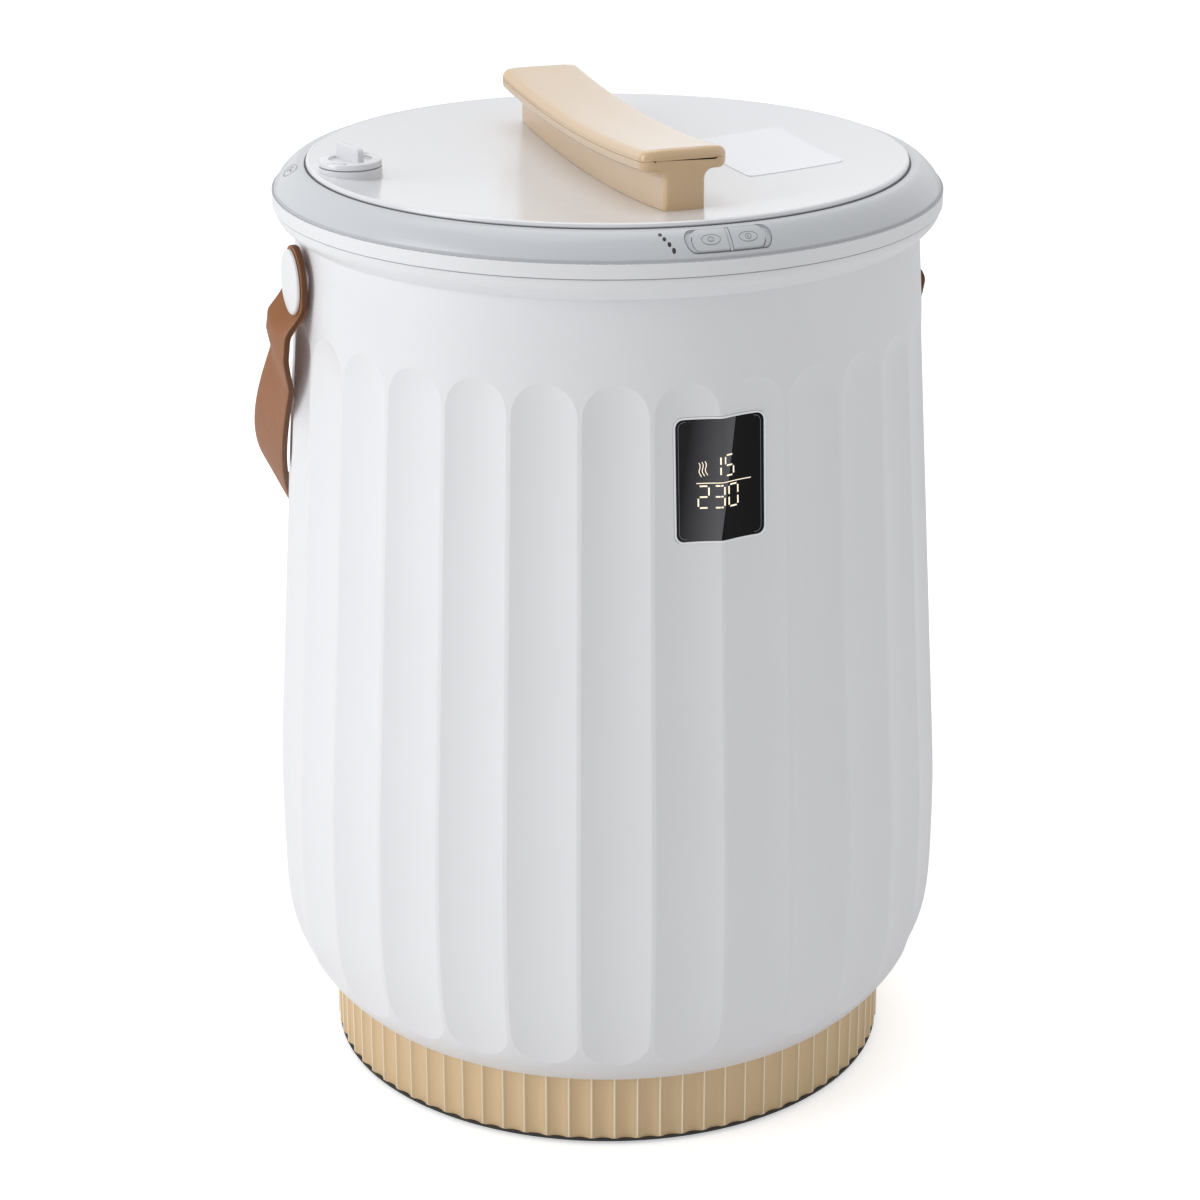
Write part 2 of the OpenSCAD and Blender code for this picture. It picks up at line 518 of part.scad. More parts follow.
// lid
liner_z = ledge_z + 1.2;
module scent_hole(g) { pin([-cap_x, cap_y, ledge_z - 5], cup_r + 1.2 + g, 60); }
screw_r = mouth_r - 5; screw_a = handle_l*0.32;
module lid_panel() {
  b = liner_z + 1.8;
  color(white) difference() {
    ringp(concat(dish_line(-panel_t, lid_r - 3.2), [[lid_r - 2.4, lid_top(lid_r) - panel_t - 0.8],
        [lid_r - 2.4, b],
      [lid_r, b], [lid_r, edge_z - 1.3], [lid_r - 0.35, edge_z - 0.4], [lid_r - 1.2, edge_z]],
      back(dish_line(0))));
    scent_hole(0);
    for (s = [-1, 1]) pin([0, s*screw_a, b], 1.7, 30);
  }
  color(white) four(screw_r, 20) difference() {
    pin([0, 0, b], 4, lid_top(screw_r) - panel_t + 0.8 - b);
    pin([0, 0, b - 1], 1.4, 8);
  }
}
module lid_liner() {
  m = mouth_r;
  color(white) difference() {
    ringp([[0, liner_z], [lid_r - 0.6, liner_z], [lid_r - 0.6, liner_z + 1.8], [0, liner_z + 1.8]]);
    ringp([[m + 1.8, liner_z - 1], [m + 6, liner_z - 1], [m + 6, liner_z + 0.8], [m + 1.8,
        liner_z + 0.8]]);
    scent_hole(0);
    four(screw_r, 20) pin([0, 0, liner_z - 1], 1.7, 10);
  }
}
module lid_seal() {
  m = mouth_r;
  color(rubber) ringp([[m + 1.8, ledge_z], [m + 3.2, ledge_z], [m + 4.6, liner_z], [m + 6, liner_z],
    [m + 6, liner_z + 0.8], [m + 1.8, liner_z + 0.8]]);
}
module lid_screws() {
  color(steel) four(screw_r, 20) {
    pin([0, 0, liner_z - 0.6], 2.6, 0.6);
    pin([0, 0, liner_z - 0.1], 1.4, 7);
  }
}
module bowed(pts) {
  a = 2*asin((handle_l/2 + 4)/dish_r);
  intersection() {
    translate([0, 0, dish_z]) rotate([0, 90, 0]) rotate([0, 0, -a/2])
      rotate_extrude(angle = a, $fn = 720) polygon([for (p = pts) [dish_r - 0.04 - p[1], p[0]]]);
    translate([0, 0, edge_z - 40]) linear_extrude(100) polygon(rrect(handle_w + 0.2, handle_l, 5, 5));
  }
}
function arc(cx, cy, r, a, b, n) = [for (k = [0:n]) [cx + r*cos(a + (b - a)*k/n),
    cy + r*sin(a + (b - a)*k/n)]];
module handle_base() {
  w = web_w/2; f = handle_w/2; h = handle_h;
  half = concat([[w, 0]], arc(w + 4, h - 13, 4, 180, 90, 8), arc(f - 2.8, h - 6.2, 2.8, -90, 0, 8),
      [[f, h - 4.6]]);
  m = [for (k = [len(half)-1:-1:0]) [-half[k][0], half[k][1]]];
  color(tan_c) difference() {
    bowed(concat(half, m));
    for (s = [-1, 1]) pin([0, s*screw_a, edge_z - 20], 1.4, 27);
  }
}
module handle_top() {
  f = handle_w/2; h = handle_h;
  half = concat([[f, h - 4.6]], arc(f - 3.6, h - 3.8, 3.6, 0, 84, 10), [[f/2, h + 0.1]]);
  m = [for (k = [len(half)-1:-1:0]) [-half[k][0], half[k][1]]];
  color(tan_c) bowed(concat(half, m));
}
module handle_screws() {
  z = lid_top(screw_a + 3.2) - panel_t;
  color(steel) for (s = [-1, 1]) {
    pin([0, s*screw_a, z - 2.6], 3.2, 2);
    pin([0, s*screw_a, z - 0.7], 1.4, 11);
  }
}
module lid_label() {
  color([0.96, 0.97, 1]) intersection() {
    ringp(concat(dish_line(0), back(dish_line(0.25))));
    translate([73, 1, edge_z - 20]) linear_extrude(40) polygon(rrect(label_w, label_l, 3, 4));
  }
}
// scent capsule
sleeve_top = edge_z + 1.2;
module scent_sleeve() {
  color(white) difference() {
    union() {
      intersection() {
        pin([-cap_x, cap_y, edge_z - 6], cap_r + 0.1, sleeve_top - edge_z + 6);
        ringp(concat(dish_line(0.01), [[lid_r - 1.8, edge_z + 20], [0, edge_z + 20]]));
      }
      pin([-cap_x, cap_y, liner_z - 0.4], cup_r + 1.19, sleeve_top - liner_z + 0.3);
    }
    translate([-cap_x, cap_y, liner_z - 1]) cylinder(r = cup_r + cup_fit, h = 40, $fn = 64);
  }
}
module scent_cup() {
  z0 = liner_z - 0.4; top = sleeve_top + 1.2;
  color(white) translate([-cap_x, cap_y, 0]) difference() {
    union() {
      translate([0, 0, z0]) cylinder(r = cup_r, h = top - z0, $fn = 64);
      translate([0, 0, sleeve_top]) cylinder(r = cup_r + 2, h = 0.3, $fn = 64);
    }
    translate([0, 0, z0 + 1.2]) cylinder(r = cup_r - 1.2, h = 40, $fn = 64);
    for (k = [0:5]) rotate(60*k) translate([4.2, 0, z0 - 1]) cylinder(r = 0.9, h = 4, $fn = 24);
    translate([0, 0, z0 - 1]) cylinder(r = 0.9, h = 4, $fn = 24);
  }
}
module scent_pad() {
  color([0.9, 0.85, 0.8]) translate([-cap_x, cap_y, liner_z + 0.8]) cylinder(r = cup_r - 1.2, h = 7,
      $fn = 64);
}
module scent_cap() {
  z0 = sleeve_top + 0.35; t = 2.7;
  color(white) translate([-cap_x, cap_y, 0]) rotate(15.7) difference() {
    union() {
      difference() {
        translate([0, 0, z0]) rotate_extrude($fn = 96)
          polygon([[0, 0], [cap_r, 0], [cap_r, t - 0.7], [cap_r - 0.2, t - 0.2], [cap_r - 0.7, t], [0,
              t]]);
        for (s = [-1, 1]) intersection() {
          translate([s*5.4 - 3.4, -7.5, z0 + t - 1.2]) cube([6.8, 15, 4]);
          translate([0, 0, z0]) cylinder(r = cap_r - 3, h = 10, $fn = 64);
        }
      }
      translate([-1.6, -9.2, z0 + t - 0.1]) cube([3.2, 18.4, 4.4]);
      translate([-1.6, -8.2, z0 + t - 0.1]) cube([3.2, 16.4, 5.8]);
    }
    translate([0, 0, z0 - 1]) cylinder(r = cup_r + cup_fit, h = 1.95, $fn = 64);
  }
}

body_shell();
base_ring();
base_plate();
base_screws();
rubber_feet();
cord_gland();
chassis();
chassis_screws();
bucket_posts();
inner_bucket();
heater_band();
insulation();
thermostat();
thermal_fuse();
control_board();
board_screws();
board_parts();
rim_collar();
rim_ring();
power_button();
timer_button();
indicator_lenses();
button_board();
button_switches();
indicator_leds();
display_window();
display_frame();
display_board();
strap();
strap_washers();
strap_pins();
strap_caps();
lid_panel();
lid_liner();
lid_seal();
lid_screws();
handle_base();
handle_top();
handle_screws();
lid_label();
scent_sleeve();
scent_cup();
scent_pad();
scent_cap();
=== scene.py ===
"""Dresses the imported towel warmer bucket: the fluted shell, the display, the leather strap,
the marks on the buttons, and a procedural finish on every piece."""
import math

import bmesh
import bpy
import numpy as np
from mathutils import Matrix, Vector
from bpy.props import BoolProperty, FloatProperty, FloatVectorProperty, IntProperty, PointerProperty
from bpy.types import Operator, Panel, PropertyGroup


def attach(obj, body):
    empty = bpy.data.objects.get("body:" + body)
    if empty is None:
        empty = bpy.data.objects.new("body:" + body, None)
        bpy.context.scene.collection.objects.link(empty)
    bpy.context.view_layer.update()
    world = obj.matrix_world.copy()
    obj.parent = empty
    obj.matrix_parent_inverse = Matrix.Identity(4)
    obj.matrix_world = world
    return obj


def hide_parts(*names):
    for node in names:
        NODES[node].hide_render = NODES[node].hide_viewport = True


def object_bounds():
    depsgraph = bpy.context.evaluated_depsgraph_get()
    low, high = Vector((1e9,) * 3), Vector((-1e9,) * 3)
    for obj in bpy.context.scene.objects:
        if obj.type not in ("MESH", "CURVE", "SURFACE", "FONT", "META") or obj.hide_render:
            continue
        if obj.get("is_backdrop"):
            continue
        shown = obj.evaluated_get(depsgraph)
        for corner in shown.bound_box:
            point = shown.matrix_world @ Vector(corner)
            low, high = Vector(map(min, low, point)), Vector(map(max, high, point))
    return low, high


bl_info = {
    "name": "Towel Warmer Bucket",
    "version": (1, 0, 0),
    "blender": (4, 5, 0),
    "location": "View3D > Sidebar > Bucket",
    "description": "Dresses a fluted towel warmer bucket with its shell, display, strap and finishes",
    "category": "Object",
}

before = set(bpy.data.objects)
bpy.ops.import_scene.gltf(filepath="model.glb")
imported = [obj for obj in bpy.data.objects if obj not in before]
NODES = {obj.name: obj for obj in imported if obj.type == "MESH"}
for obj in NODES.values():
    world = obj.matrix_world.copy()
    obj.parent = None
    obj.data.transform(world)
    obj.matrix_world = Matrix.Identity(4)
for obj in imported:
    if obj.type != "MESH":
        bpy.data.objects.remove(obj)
CAD_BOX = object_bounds()
MM = 0.001
RIBS = 80
GRIP_TINT = (0.87, 0.81, 0.75)


class ShellSizes(PropertyGroup):
    belly: FloatProperty(name="Belly radius", description="Widest radius of the body",
                         default=0.1505, unit="LENGTH")
    neck: FloatProperty(name="Neck radius", description="Radius of the body under the rim",
                        default=0.1343, unit="LENGTH")
    flutes: IntProperty(name="Flutes", description="Flutes round the body", default=30, min=12, max=48)
    depth: FloatProperty(name="Flute depth", description="Depth of a flute at its middle",
                         default=0.0024, unit="LENGTH")
    land: FloatProperty(name="Land", description="Width of the land between two flutes",
                        default=0.0018, unit="LENGTH")
    columns: IntProperty(name="Columns", description="Columns of the mesh across one flute",
                         default=16, min=8)


class DisplaySizes(PropertyGroup):
    width: FloatProperty(name="Width", description="Width of the window", default=0.0395, unit="LENGTH")
    height: FloatProperty(name="Height", description="Height of the window", default=0.052, unit="LENGTH")
    middle: FloatProperty(name="Middle", description="Height of the window's middle over the table",
                          default=0.309, unit="LENGTH")
    lit: BoolProperty(name="Lit", description="Whether the digits glow", default=True)


class StrapSizes(PropertyGroup):
    width: FloatProperty(name="Width", description="Width of the strap", default=0.031, unit="LENGTH")
    thick: FloatProperty(name="Thickness", description="Thickness of the leather",
                         default=0.0028, unit="LENGTH")
    lean: FloatProperty(name="Lean", description="Angle at which the strap leaves its pivot",
                        default=math.radians(8), subtype="ANGLE")


class HandleSizes(PropertyGroup):
    length: FloatProperty(name="Length", description="Length of the handle", default=0.188, unit="LENGTH")
    width: FloatProperty(name="Width", description="Width of the handle's upper part",
                         default=0.037, unit="LENGTH")
    foot: FloatProperty(name="Foot", description="Width of the handle's foot", default=0.0175, unit="LENGTH")
    height: FloatProperty(name="Height", description="Height of the handle over the lid",
                          default=0.025, unit="LENGTH")


class Colours(PropertyGroup):
    white: FloatVectorProperty(name="Shell", description="Colour of the moulded shell", subtype="COLOR",
                               default=(0.83, 0.835, 0.86), min=0, max=1)
    lid: FloatVectorProperty(name="Lid", description="Colour of the lid", subtype="COLOR",
                             default=(0.755, 0.768, 0.8), min=0, max=1)
    rim: FloatVectorProperty(name="Rim", description="Colour of the rim ring", subtype="COLOR",
                             default=(0.56, 0.58, 0.61), min=0, max=1)
    sand: FloatVectorProperty(name="Base and handle", description="Colour of the base and the handle",
                              subtype="COLOR", default=(0.72, 0.53, 0.31), min=0, max=1)
    leather: FloatVectorProperty(name="Leather", description="Colour of the strap", subtype="COLOR",
                                 default=(0.3, 0.122, 0.05), min=0, max=1)
    glow: FloatVectorProperty(name="Digits", description="Colour of the lit digits", subtype="COLOR",
                              default=(1.0, 0.87, 0.68), min=0, max=1)


# finishes

class Sock:
    """One output of a node, which takes part in arithmetic."""

    def __init__(self, tree, out):
        self.tree, self.out = tree, out

    def math(self, kind, *others):
        n = self.tree.nodes.new("ShaderNodeMath")
        n.operation = kind
        for i, v in enumerate((self,) + others):
            plug(self.tree, n.inputs[i], v)
        return Sock(self.tree, n.outputs[0])

    def __add__(self, v):
        return self.math("ADD", v)

    def __sub__(self, v):
        return self.math("SUBTRACT", v)

    def __rsub__(self, v):
        return (self * -1.0) + v

    def __mul__(self, v):
        return self.math("MULTIPLY", v)

    def __truediv__(self, v):
        return self.math("DIVIDE", v)

    def __gt__(self, v):
        return self.math("GREATER_THAN", v)

    def __lt__(self, v):
        return self.math("LESS_THAN", v)

    __radd__, __rmul__ = __add__, __mul__


def plug(tree, socket, value):
    """Sets a socket to a number, a colour or another node's output."""
    if isinstance(value, Sock):
        tree.links.new(value.out, socket)
    elif hasattr(value, "__len__") and socket.type == "RGBA" and len(value) == 3:
        socket.default_value = (*value, 1)
    else:
        socket.default_value = value


class Finish:
    """A material and the nodes that feed its shader."""

    def __init__(self, name, colour, rough, **fixed):
        self.material = bpy.data.materials.new(name)
        self.material.use_nodes = True
        self.tree = self.material.node_tree
        self.shader = self.tree.nodes["Principled BSDF"]
        self.set("Base Color", colour)
        self.set("Roughness", rough)
        for key, value in fixed.items():
            self.set(key.replace("_", " ").title().replace("Ior", "IOR"), value)
        self.where = self.node("ShaderNodeTexCoord", out="Object")

    def set(self, socket, value):
        plug(self.tree, self.shader.inputs[socket], value)

    def node(self, kind, out=0, settings=None, **links):
        n = self.tree.nodes.new(kind)
        for key, value in (settings or {}).items():
            setattr(n, key, value)
        for key, value in links.items():
            plug(self.tree, n.inputs[key], value)
        return Sock(self.tree, n.outputs[out])

    def noise(self, scale, detail=3.0, where=None, rough=0.5):
        return self.node("ShaderNodeTexNoise", out=0, Vector=where or self.where, Scale=scale,
                         Detail=detail, Roughness=rough)

    def mix(self, mask, a, b):
        n = self.tree.nodes.new("ShaderNodeMix")
        n.data_type = "RGBA"
        plug(self.tree, n.inputs[0], mask)
        plug(self.tree, n.inputs[6], a)
        plug(self.tree, n.inputs[7], b)
        return Sock(self.tree, n.outputs[2])

    def parts(self):
        n = self.tree.nodes.new("ShaderNodeSeparateXYZ")
        self.tree.links.new(self.where.out, n.inputs[0])
        return [Sock(self.tree, o) for o in n.outputs]

    def bump(self, height, strength, distance=0.0002):
        self.set("Normal", self.node("ShaderNodeBump", Height=height, Strength=strength, Distance=distance))

    def stretched(self, x, y, z):
        return self.node("ShaderNodeMapping", Vector=self.where, Scale=(x, y, z))


def shade(colour, k):
    return tuple(min(1.0, c * k) for c in colour)


def moulded(name, colour, rough=0.42, grain=1500.0, strength=0.10, **fixed):
    """Satin moulded plastic: faint cloudiness, fine eroded grain."""
    f = Finish(name, colour, rough, **fixed)
    cloud = f.noise(14.0, 4.0)
    f.set("Base Color", f.mix(cloud, shade(colour, 0.975), shade(colour, 1.02)))
    f.set("Roughness", f.noise(60.0, 2.0) * 0.06 + (rough - 0.03))
    f.bump(f.noise(grain, 2.0), strength, 0.00006)
    return f


def ribbed(name, colour, ribs):
    """Satin plastic with a painted highlight, a pale line along every rib's crest, and painted shade, a
    darker tone down in the grooves.
    """
    f = moulded(name, colour, 0.4, 1500.0, 0.06)
    crest, groove, ribs_from = 0.035, 0.16, 0.1268
    x, y, _ = f.parts()
    turn = (y.math("ARCTAN2", x) * (ribs / (2 * math.pi))).math("FRACT")
    off = 0.5 - (turn - 0.5).math("ABSOLUTE")
    reach = (x * x + y * y).math("SQRT")
    skin = reach > ribs_from
    base = f.mix(f.noise(14.0, 4.0), shade(colour, 0.97), shade(colour, 1.03))
    # painted shade: the grooves between the ribs are coloured darker
    groove_shade = f.mix((off < groove) * skin * 0.5, base, shade(colour, 0.9))
    # painted highlight: a pale line along each rib's crest
    f.set("Base Color", f.mix((off < crest) * skin, groove_shade, (0.95, 0.83, 0.66)))
    return f


def brushed(name, colour, rough):
    """Spun or brushed metal: long fine lines round the axis."""
    f = Finish(name, colour, rough, metallic=1.0)
    lines = f.noise(900.0, 3.0, f.stretched(0.06, 0.06, 4.0))
    f.set("Base Color", f.mix(lines, shade(colour, 0.9), shade(colour, 1.05)))
    f.set("Roughness", lines * 0.16 + (rough - 0.08))
    f.bump(lines, 0.08, 0.00005)
    return f


def woven(name, colour, scale=700.0):
    """Fibre blanket or felt."""
    f = Finish(name, colour, 0.95)
    fibres = f.noise(scale, 6.0, rough=0.7)
    f.set("Base Color", f.mix(fibres, shade(colour, 0.8), shade(colour, 1.1)))
    f.bump(fibres, 0.5, 0.0004)
    return f


def hide(name, colour, rough=0.5):
    """Smooth leather: a pebbled grain of cells, with fine creases and slow changes of tone."""
    f = Finish(name, colour, rough, specular_ior_level=0.2)
    cells = f.node("ShaderNodeTexVoronoi", settings={"feature": "DISTANCE_TO_EDGE"},
                   Vector=f.where, Scale=900.0)
    crease = f.noise(160.0, 5.0)
    tone = f.noise(28.0, 4.0)
    f.set("Base Color", f.mix(tone, shade(colour, 0.86), shade(colour, 1.12)))
    f.set("Roughness", crease * 0.14 + (rough - 0.07))
    f.bump(cells * 0.6 + crease * 0.5, 0.22, 0.00012)
    return f


def circuit(name):
    """Green solder mask with faint tracks."""
    f = Finish(name, (0.03, 0.16, 0.07), 0.35)
    tracks = f.node("ShaderNodeTexBrick", Vector=f.where, Scale=160.0, Color1=(0.02, 0.14, 0.06),
                    Color2=(0.03, 0.2, 0.09), Mortar=(0.06, 0.28, 0.12))
    f.set("Base Color", tracks)
    return f


def glass_black(name):
    """Black display glass with a painted reflection: a pale diagonal band across its left part."""
    dark = (0.006, 0.006, 0.007)
    f = Finish(name, dark, 0.12, specular_ior_level=0.12)
    x, _, z = f.parts()
    d = bpy.context.scene.bucket_display
    side = x / d.width - 0.07 - (z - d.middle) / d.height * 0.19
    # painted reflection: a pale diagonal band on the glass's left part, set by position on the glass
    painted_reflection = (side < 0.0) * (0.012 + 0.14 * (1 + side * 2.1).math("MAXIMUM", 0.0))
    f.set("Base Color", f.mix(painted_reflection, dark, (0.9, 0.9, 0.95)))
    f.set("Roughness", f.noise(40.0) * 0.04 + 0.1)
    return f


def glowing(name, colour, strength):
    f = Finish(name, shade(colour, 0.4), 0.5, emission_strength=strength)
    pulse = f.noise(900.0, 1.0)
    f.set("Emission Color", f.mix(pulse, shade(colour, 0.92), colour))
    return f


def finishes():
    """Every finish by name, made once."""
    if "shell" not in finishes.made:
        c = bpy.context.scene.bucket_colours
        finishes.made.update({
            "shell": moulded("shell_white", c.white, 0.4, 1300.0, 0.06),
            "lid": moulded("lid_satin", c.lid, 0.22, 1700.0, 0.03, coat_weight=0.3, coat_roughness=0.12),
            "rim": moulded("rim_grey", c.rim, 0.3, 1800.0, 0.03, coat_weight=0.15),
            "sand": ribbed("sand_plastic", c.sand, RIBS),
            "grip": moulded("grip_sand", [a * b for a, b in zip(c.sand, GRIP_TINT)], 0.24, 1500.0, 0.03,
                            coat_weight=1.0, coat_roughness=0.16),
            "inner_white": moulded("inner_white", (0.75, 0.75, 0.76), 0.5),
            "black": moulded("black_plastic", (0.015, 0.015, 0.017), 0.25, 900.0, 0.04),
            "plate": moulded("dark_plate", (0.035, 0.034, 0.033), 0.7),
            "rubber": moulded("rubber_black", (0.02, 0.02, 0.02), 0.85, 500.0, 0.3),
            "glass": glass_black("display_glass"),
            "steel": brushed("brushed_steel", (0.6, 0.61, 0.63), 0.32),
            "bucket": brushed("spun_bucket", (0.8, 0.81, 0.83), 0.3),
            "foil": brushed("heater_foil", (0.72, 0.45, 0.22), 0.35),
            "wool": woven("fibre_blanket", (0.7, 0.69, 0.64)),
            "felt": woven("scent_felt", (0.8, 0.74, 0.66), 1500.0),
            "board": circuit("circuit_board"),
            "leather": hide("strap_leather", c.leather),
            "cut": hide("strap_cut_edge", shade(c.leather, 0.42), 0.42),
            "film": moulded("clear_film", (0.82, 0.84, 0.9), 0.16, 600.0, 0.02, coat_weight=0.5),
            "mark": moulded("printed_mark", (0.2, 0.21, 0.23), 0.5),
            # painted shadow: a near black that stands in for the shade in narrow gaps
            "seam": moulded("dark_gap_shadow", (0.12, 0.12, 0.13), 0.6),
            # painted shade: a grey that stands in for the shade along the collar's steps
            "pale_seam": moulded("pale_seam", (0.42, 0.43, 0.46), 0.6),
            # painted highlight: the window's edge is the shell's white made brighter, as if lit
            "edge": moulded("window_edge_highlight", (0.97, 0.975, 0.99), 0.2),
            "glow": glowing("lit_digits", c.glow, 1.1 if bpy.context.scene.bucket_display.lit else 0.0),
        })
    return finishes.made


finishes.made = {}

NODE_FINISH = {
    "shell": "body_shell rim_collar strap_caps",
    "lid": "lid_panel scent_sleeve scent_cup scent_cap",
    "rim": "rim_ring power_button timer_button",
    "sand": "base_ring",
    "grip": "handle_base handle_top",
    "inner_white": "chassis lid_liner thermal_fuse",
    "black": "indicator_lenses display_frame cord_gland board_parts button_switches",
    "plate": "base_plate",
    "rubber": "rubber_feet lid_seal",
    "glass": "display_window",
    "steel": "base_screws chassis_screws bucket_posts thermostat board_screws strap_washers strap_pins "
             "lid_screws handle_screws",
    "bucket": "inner_bucket", "foil": "heater_band", "wool": "insulation", "felt": "scent_pad",
    "board": "control_board button_board display_board", "leather": "strap",
    "film": "lid_label indicator_leds",
}


# meshes

def piece(name, points, faces, finish, body, slot=None, smooth=40.0, marks=None):
    """A mesh object from points in millimetres, riding on a body."""
    mesh = bpy.data.meshes.new(name)
    mesh.from_pydata([tuple(c * MM for c in p) for p in points], [], faces)
    mesh.update()
    obj = bpy.data.objects.new(name, mesh)
    bpy.context.scene.collection.objects.link(obj)
    for f in finish if isinstance(finish, (list, tuple)) else [finish]:
        mesh.materials.append(finishes()[f].material)
    if marks is not None:
        mesh.polygons.foreach_set("material_index", marks)
    settle(obj, smooth)
    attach(obj, body)
    return obj


def settle(obj, smooth):
    """Points the faces outwards and shades by angle."""
    b = bmesh.new()
    b.from_mesh(obj.data)
    bmesh.ops.recalc_face_normals(b, faces=b.faces)
    b.to_mesh(obj.data)
    b.free()
    obj.data.polygons.foreach_set("use_smooth", [True] * len(obj.data.polygons))
    if smooth:
        obj.data.set_sharp_from_angle(angle=math.radians(smooth))


def tube_faces(n, m, close=True):
    """Quads of m rings of n points each, closed round, and end to end if close."""
    rows = m if close else m - 1
    return [(j * n + i, j * n + (i + 1) % n, ((j + 1) % m) * n + (i + 1) % n, ((j + 1) % m) * n + i)
            for j in range(rows) for i in range(n)]


def ends(n, m):
    """The two faces that close m rings of n points."""
    return [tuple(range(n)), tuple(range(n * m - 1, n * m - n - 1, -1))]


def carve(obj, cutters, kind="DIFFERENCE", smooth=40.0):
    """Cuts or keeps with each cutter, then drops the cutters."""
    for c in cutters:
        m = obj.modifiers.new("cut", "BOOLEAN")
        m.operation, m.object, m.solver = kind, c, "EXACT"
        bpy.context.view_layer.update()
        done = bpy.data.meshes.new_from_object(obj.evaluated_get(bpy.context.evaluated_depsgraph_get()))
        obj.modifiers.clear()
        old, obj.data = obj.data, done
        done.name = obj.name
        bpy.data.meshes.remove(old)
        bpy.data.objects.remove(c)
    obj.data.polygons.foreach_set("use_smooth", [True] * len(obj.data.polygons))
    obj.data.set_sharp_from_angle(angle=math.radians(smooth))


def cutter(points, faces):
    """A mesh to cut or join with, from points in millimetres."""
    mesh = bpy.data.meshes.new("cutter")
    mesh.from_pydata([tuple(c * MM for c in p) for p in points], [], faces)
    obj = bpy.data.objects.new("cutter", mesh)
    bpy.context.scene.collection.objects.link(obj)
    settle(obj, 0)
    return obj


def prism(outline, y0, y1):
    """A cutter: an outline in the X-Z plane, in millimetres, drawn from y0 to y1."""
    n = len(outline)
    points = [(x, y0, z) for x, z in outline] + [(x, y1, z) for x, z in outline]
    faces = [tuple(range(n)), tuple(range(2 * n - 1, n - 1, -1))]
    faces += [(i, n + i, n + (i + 1) % n, (i + 1) % n) for i in range(n)]
    return cutter(points, faces)


def rounded(w, h, r, cx=0.0, cz=0.0, n=8):
    out = []
    for sx, sz, a0 in ((1, 1, 0), (-1, 1, 90), (-1, -1, 180), (1, -1, 270)):
        for k in range(n + 1):
            a = math.radians(a0 + 90 * k / n)
            out.append((cx + sx * (w / 2 - r) + r * math.cos(a), cz + sz * (h / 2 - r) + r * math.sin(a)))
    return out


# the body's form, as the solid has it

BODY_Z, EDGE_Z, FOOT_R = 34.0, 413.0, 129.6
BELLY_Z, NECK_Z = BODY_Z + 84, EDGE_Z - 29
FLUTE_BOT, FLUTE_TOP = BODY_Z + 13, EDGE_Z - 63
LID_R, DISH = 129.0, 9.0
DISH_R = (LID_R ** 2 + DISH ** 2) / (2 * DISH)
RIM_R, RIM_TOP, RIM_FALL, BORE_R = 142.6, 411.0, 10.4, 129.6
PIVOT_Z, COLLAR_R = 368.0, 143.8
BUTTON_R, BUTTON_HALF = RIM_R - 4.7, 3.7
RIM_BAND, RIM_BOT = 9.8, RIM_TOP - RIM_FALL
FLUTE_END, WALL = 14, 4.6
CAP_X, CAP_Y, CAP_TURN, CAP_R, CAP_THICK = -112, 6, math.radians(15.7), 13.3, 2.7


def s_belly():
    return bpy.context.scene.bucket_shell.belly / MM


def outer_r(z):
    belly, neck = s_belly(), bpy.context.scene.bucket_shell.neck / MM
    slope = (belly - neck) / (NECK_Z - BELLY_Z - 15)
    if z < BELLY_Z:
        return belly - (belly - FOOT_R) * (1 - max(0.0, z - BODY_Z) / (BELLY_Z - BODY_Z)) ** 4.3
    d = z - BELLY_Z
    return belly - slope * d * d / 60 if d < 30 else belly - slope * (d - 15)


def hollow(a, z, soft=0.004):
    """Depth of the flute at angle a from its middle, in degrees."""
    s = bpy.context.scene.bucket_shell
    w = math.pi * outer_r(z) / s.flutes - s.land / MM / 2
    x = outer_r(z) * math.radians(a)
    dz = FLUTE_BOT + FLUTE_END - z if z < FLUTE_BOT + FLUTE_END else max(0.0, z - FLUTE_TOP + FLUTE_END)
    q = 1 - (x * x + dz * dz * (w / FLUTE_END) ** 2) / (w * w)
    return s.depth / MM * 0.5 * (q + math.sqrt(q * q + soft * soft))


def skin_r(angle, z):
    """Radius of the skin at an angle from the front, in degrees."""
    pitch = 360 / bpy.context.scene.bucket_shell.flutes
    a = (angle % pitch) - pitch / 2
    return outer_r(z) - hollow(a, z)


def on_skin(x, z, depth=0.0):
    """The point of the skin at x, z on the front, that far under it."""
    a = math.degrees(math.asin(x / outer_r(z)))
    r = skin_r(a, z) - depth
    return (r * math.sin(math.radians(a)), -r * math.cos(math.radians(a)), z)


def lid_top(r):
    return EDGE_Z - DISH + DISH_R - math.sqrt(DISH_R ** 2 - r * r)


def bez(a, b, c, d, t):
    a, b, c, d = (np.array(v, float) for v in (a, b, c, d))
    return (1 - t) ** 3 * a + 3 * t * (1 - t) ** 2 * b + 3 * t * t * (1 - t) * c + t ** 3 * d


def rim_z(r):
    """Height of the rim ring's top at a radius."""
    w, f = RIM_BAND, RIM_FALL
    pts = [bez((RIM_R - w, RIM_TOP), (RIM_R - 0.7 * w, RIM_TOP - 0.02 * f),
               (RIM_R - 0.2 * w, RIM_TOP - 0.5 * f), (RIM_R, RIM_TOP - 0.88 * f), k / 12) for k in range(13)]
    return float(np.interp(r, [BORE_R + 0.6] + [p[0] for p in pts], [RIM_TOP] + [p[1] for p in pts]))


def on_rim(x, y, lift):
    return (x, y, rim_z(math.hypot(x, y)) + lift)


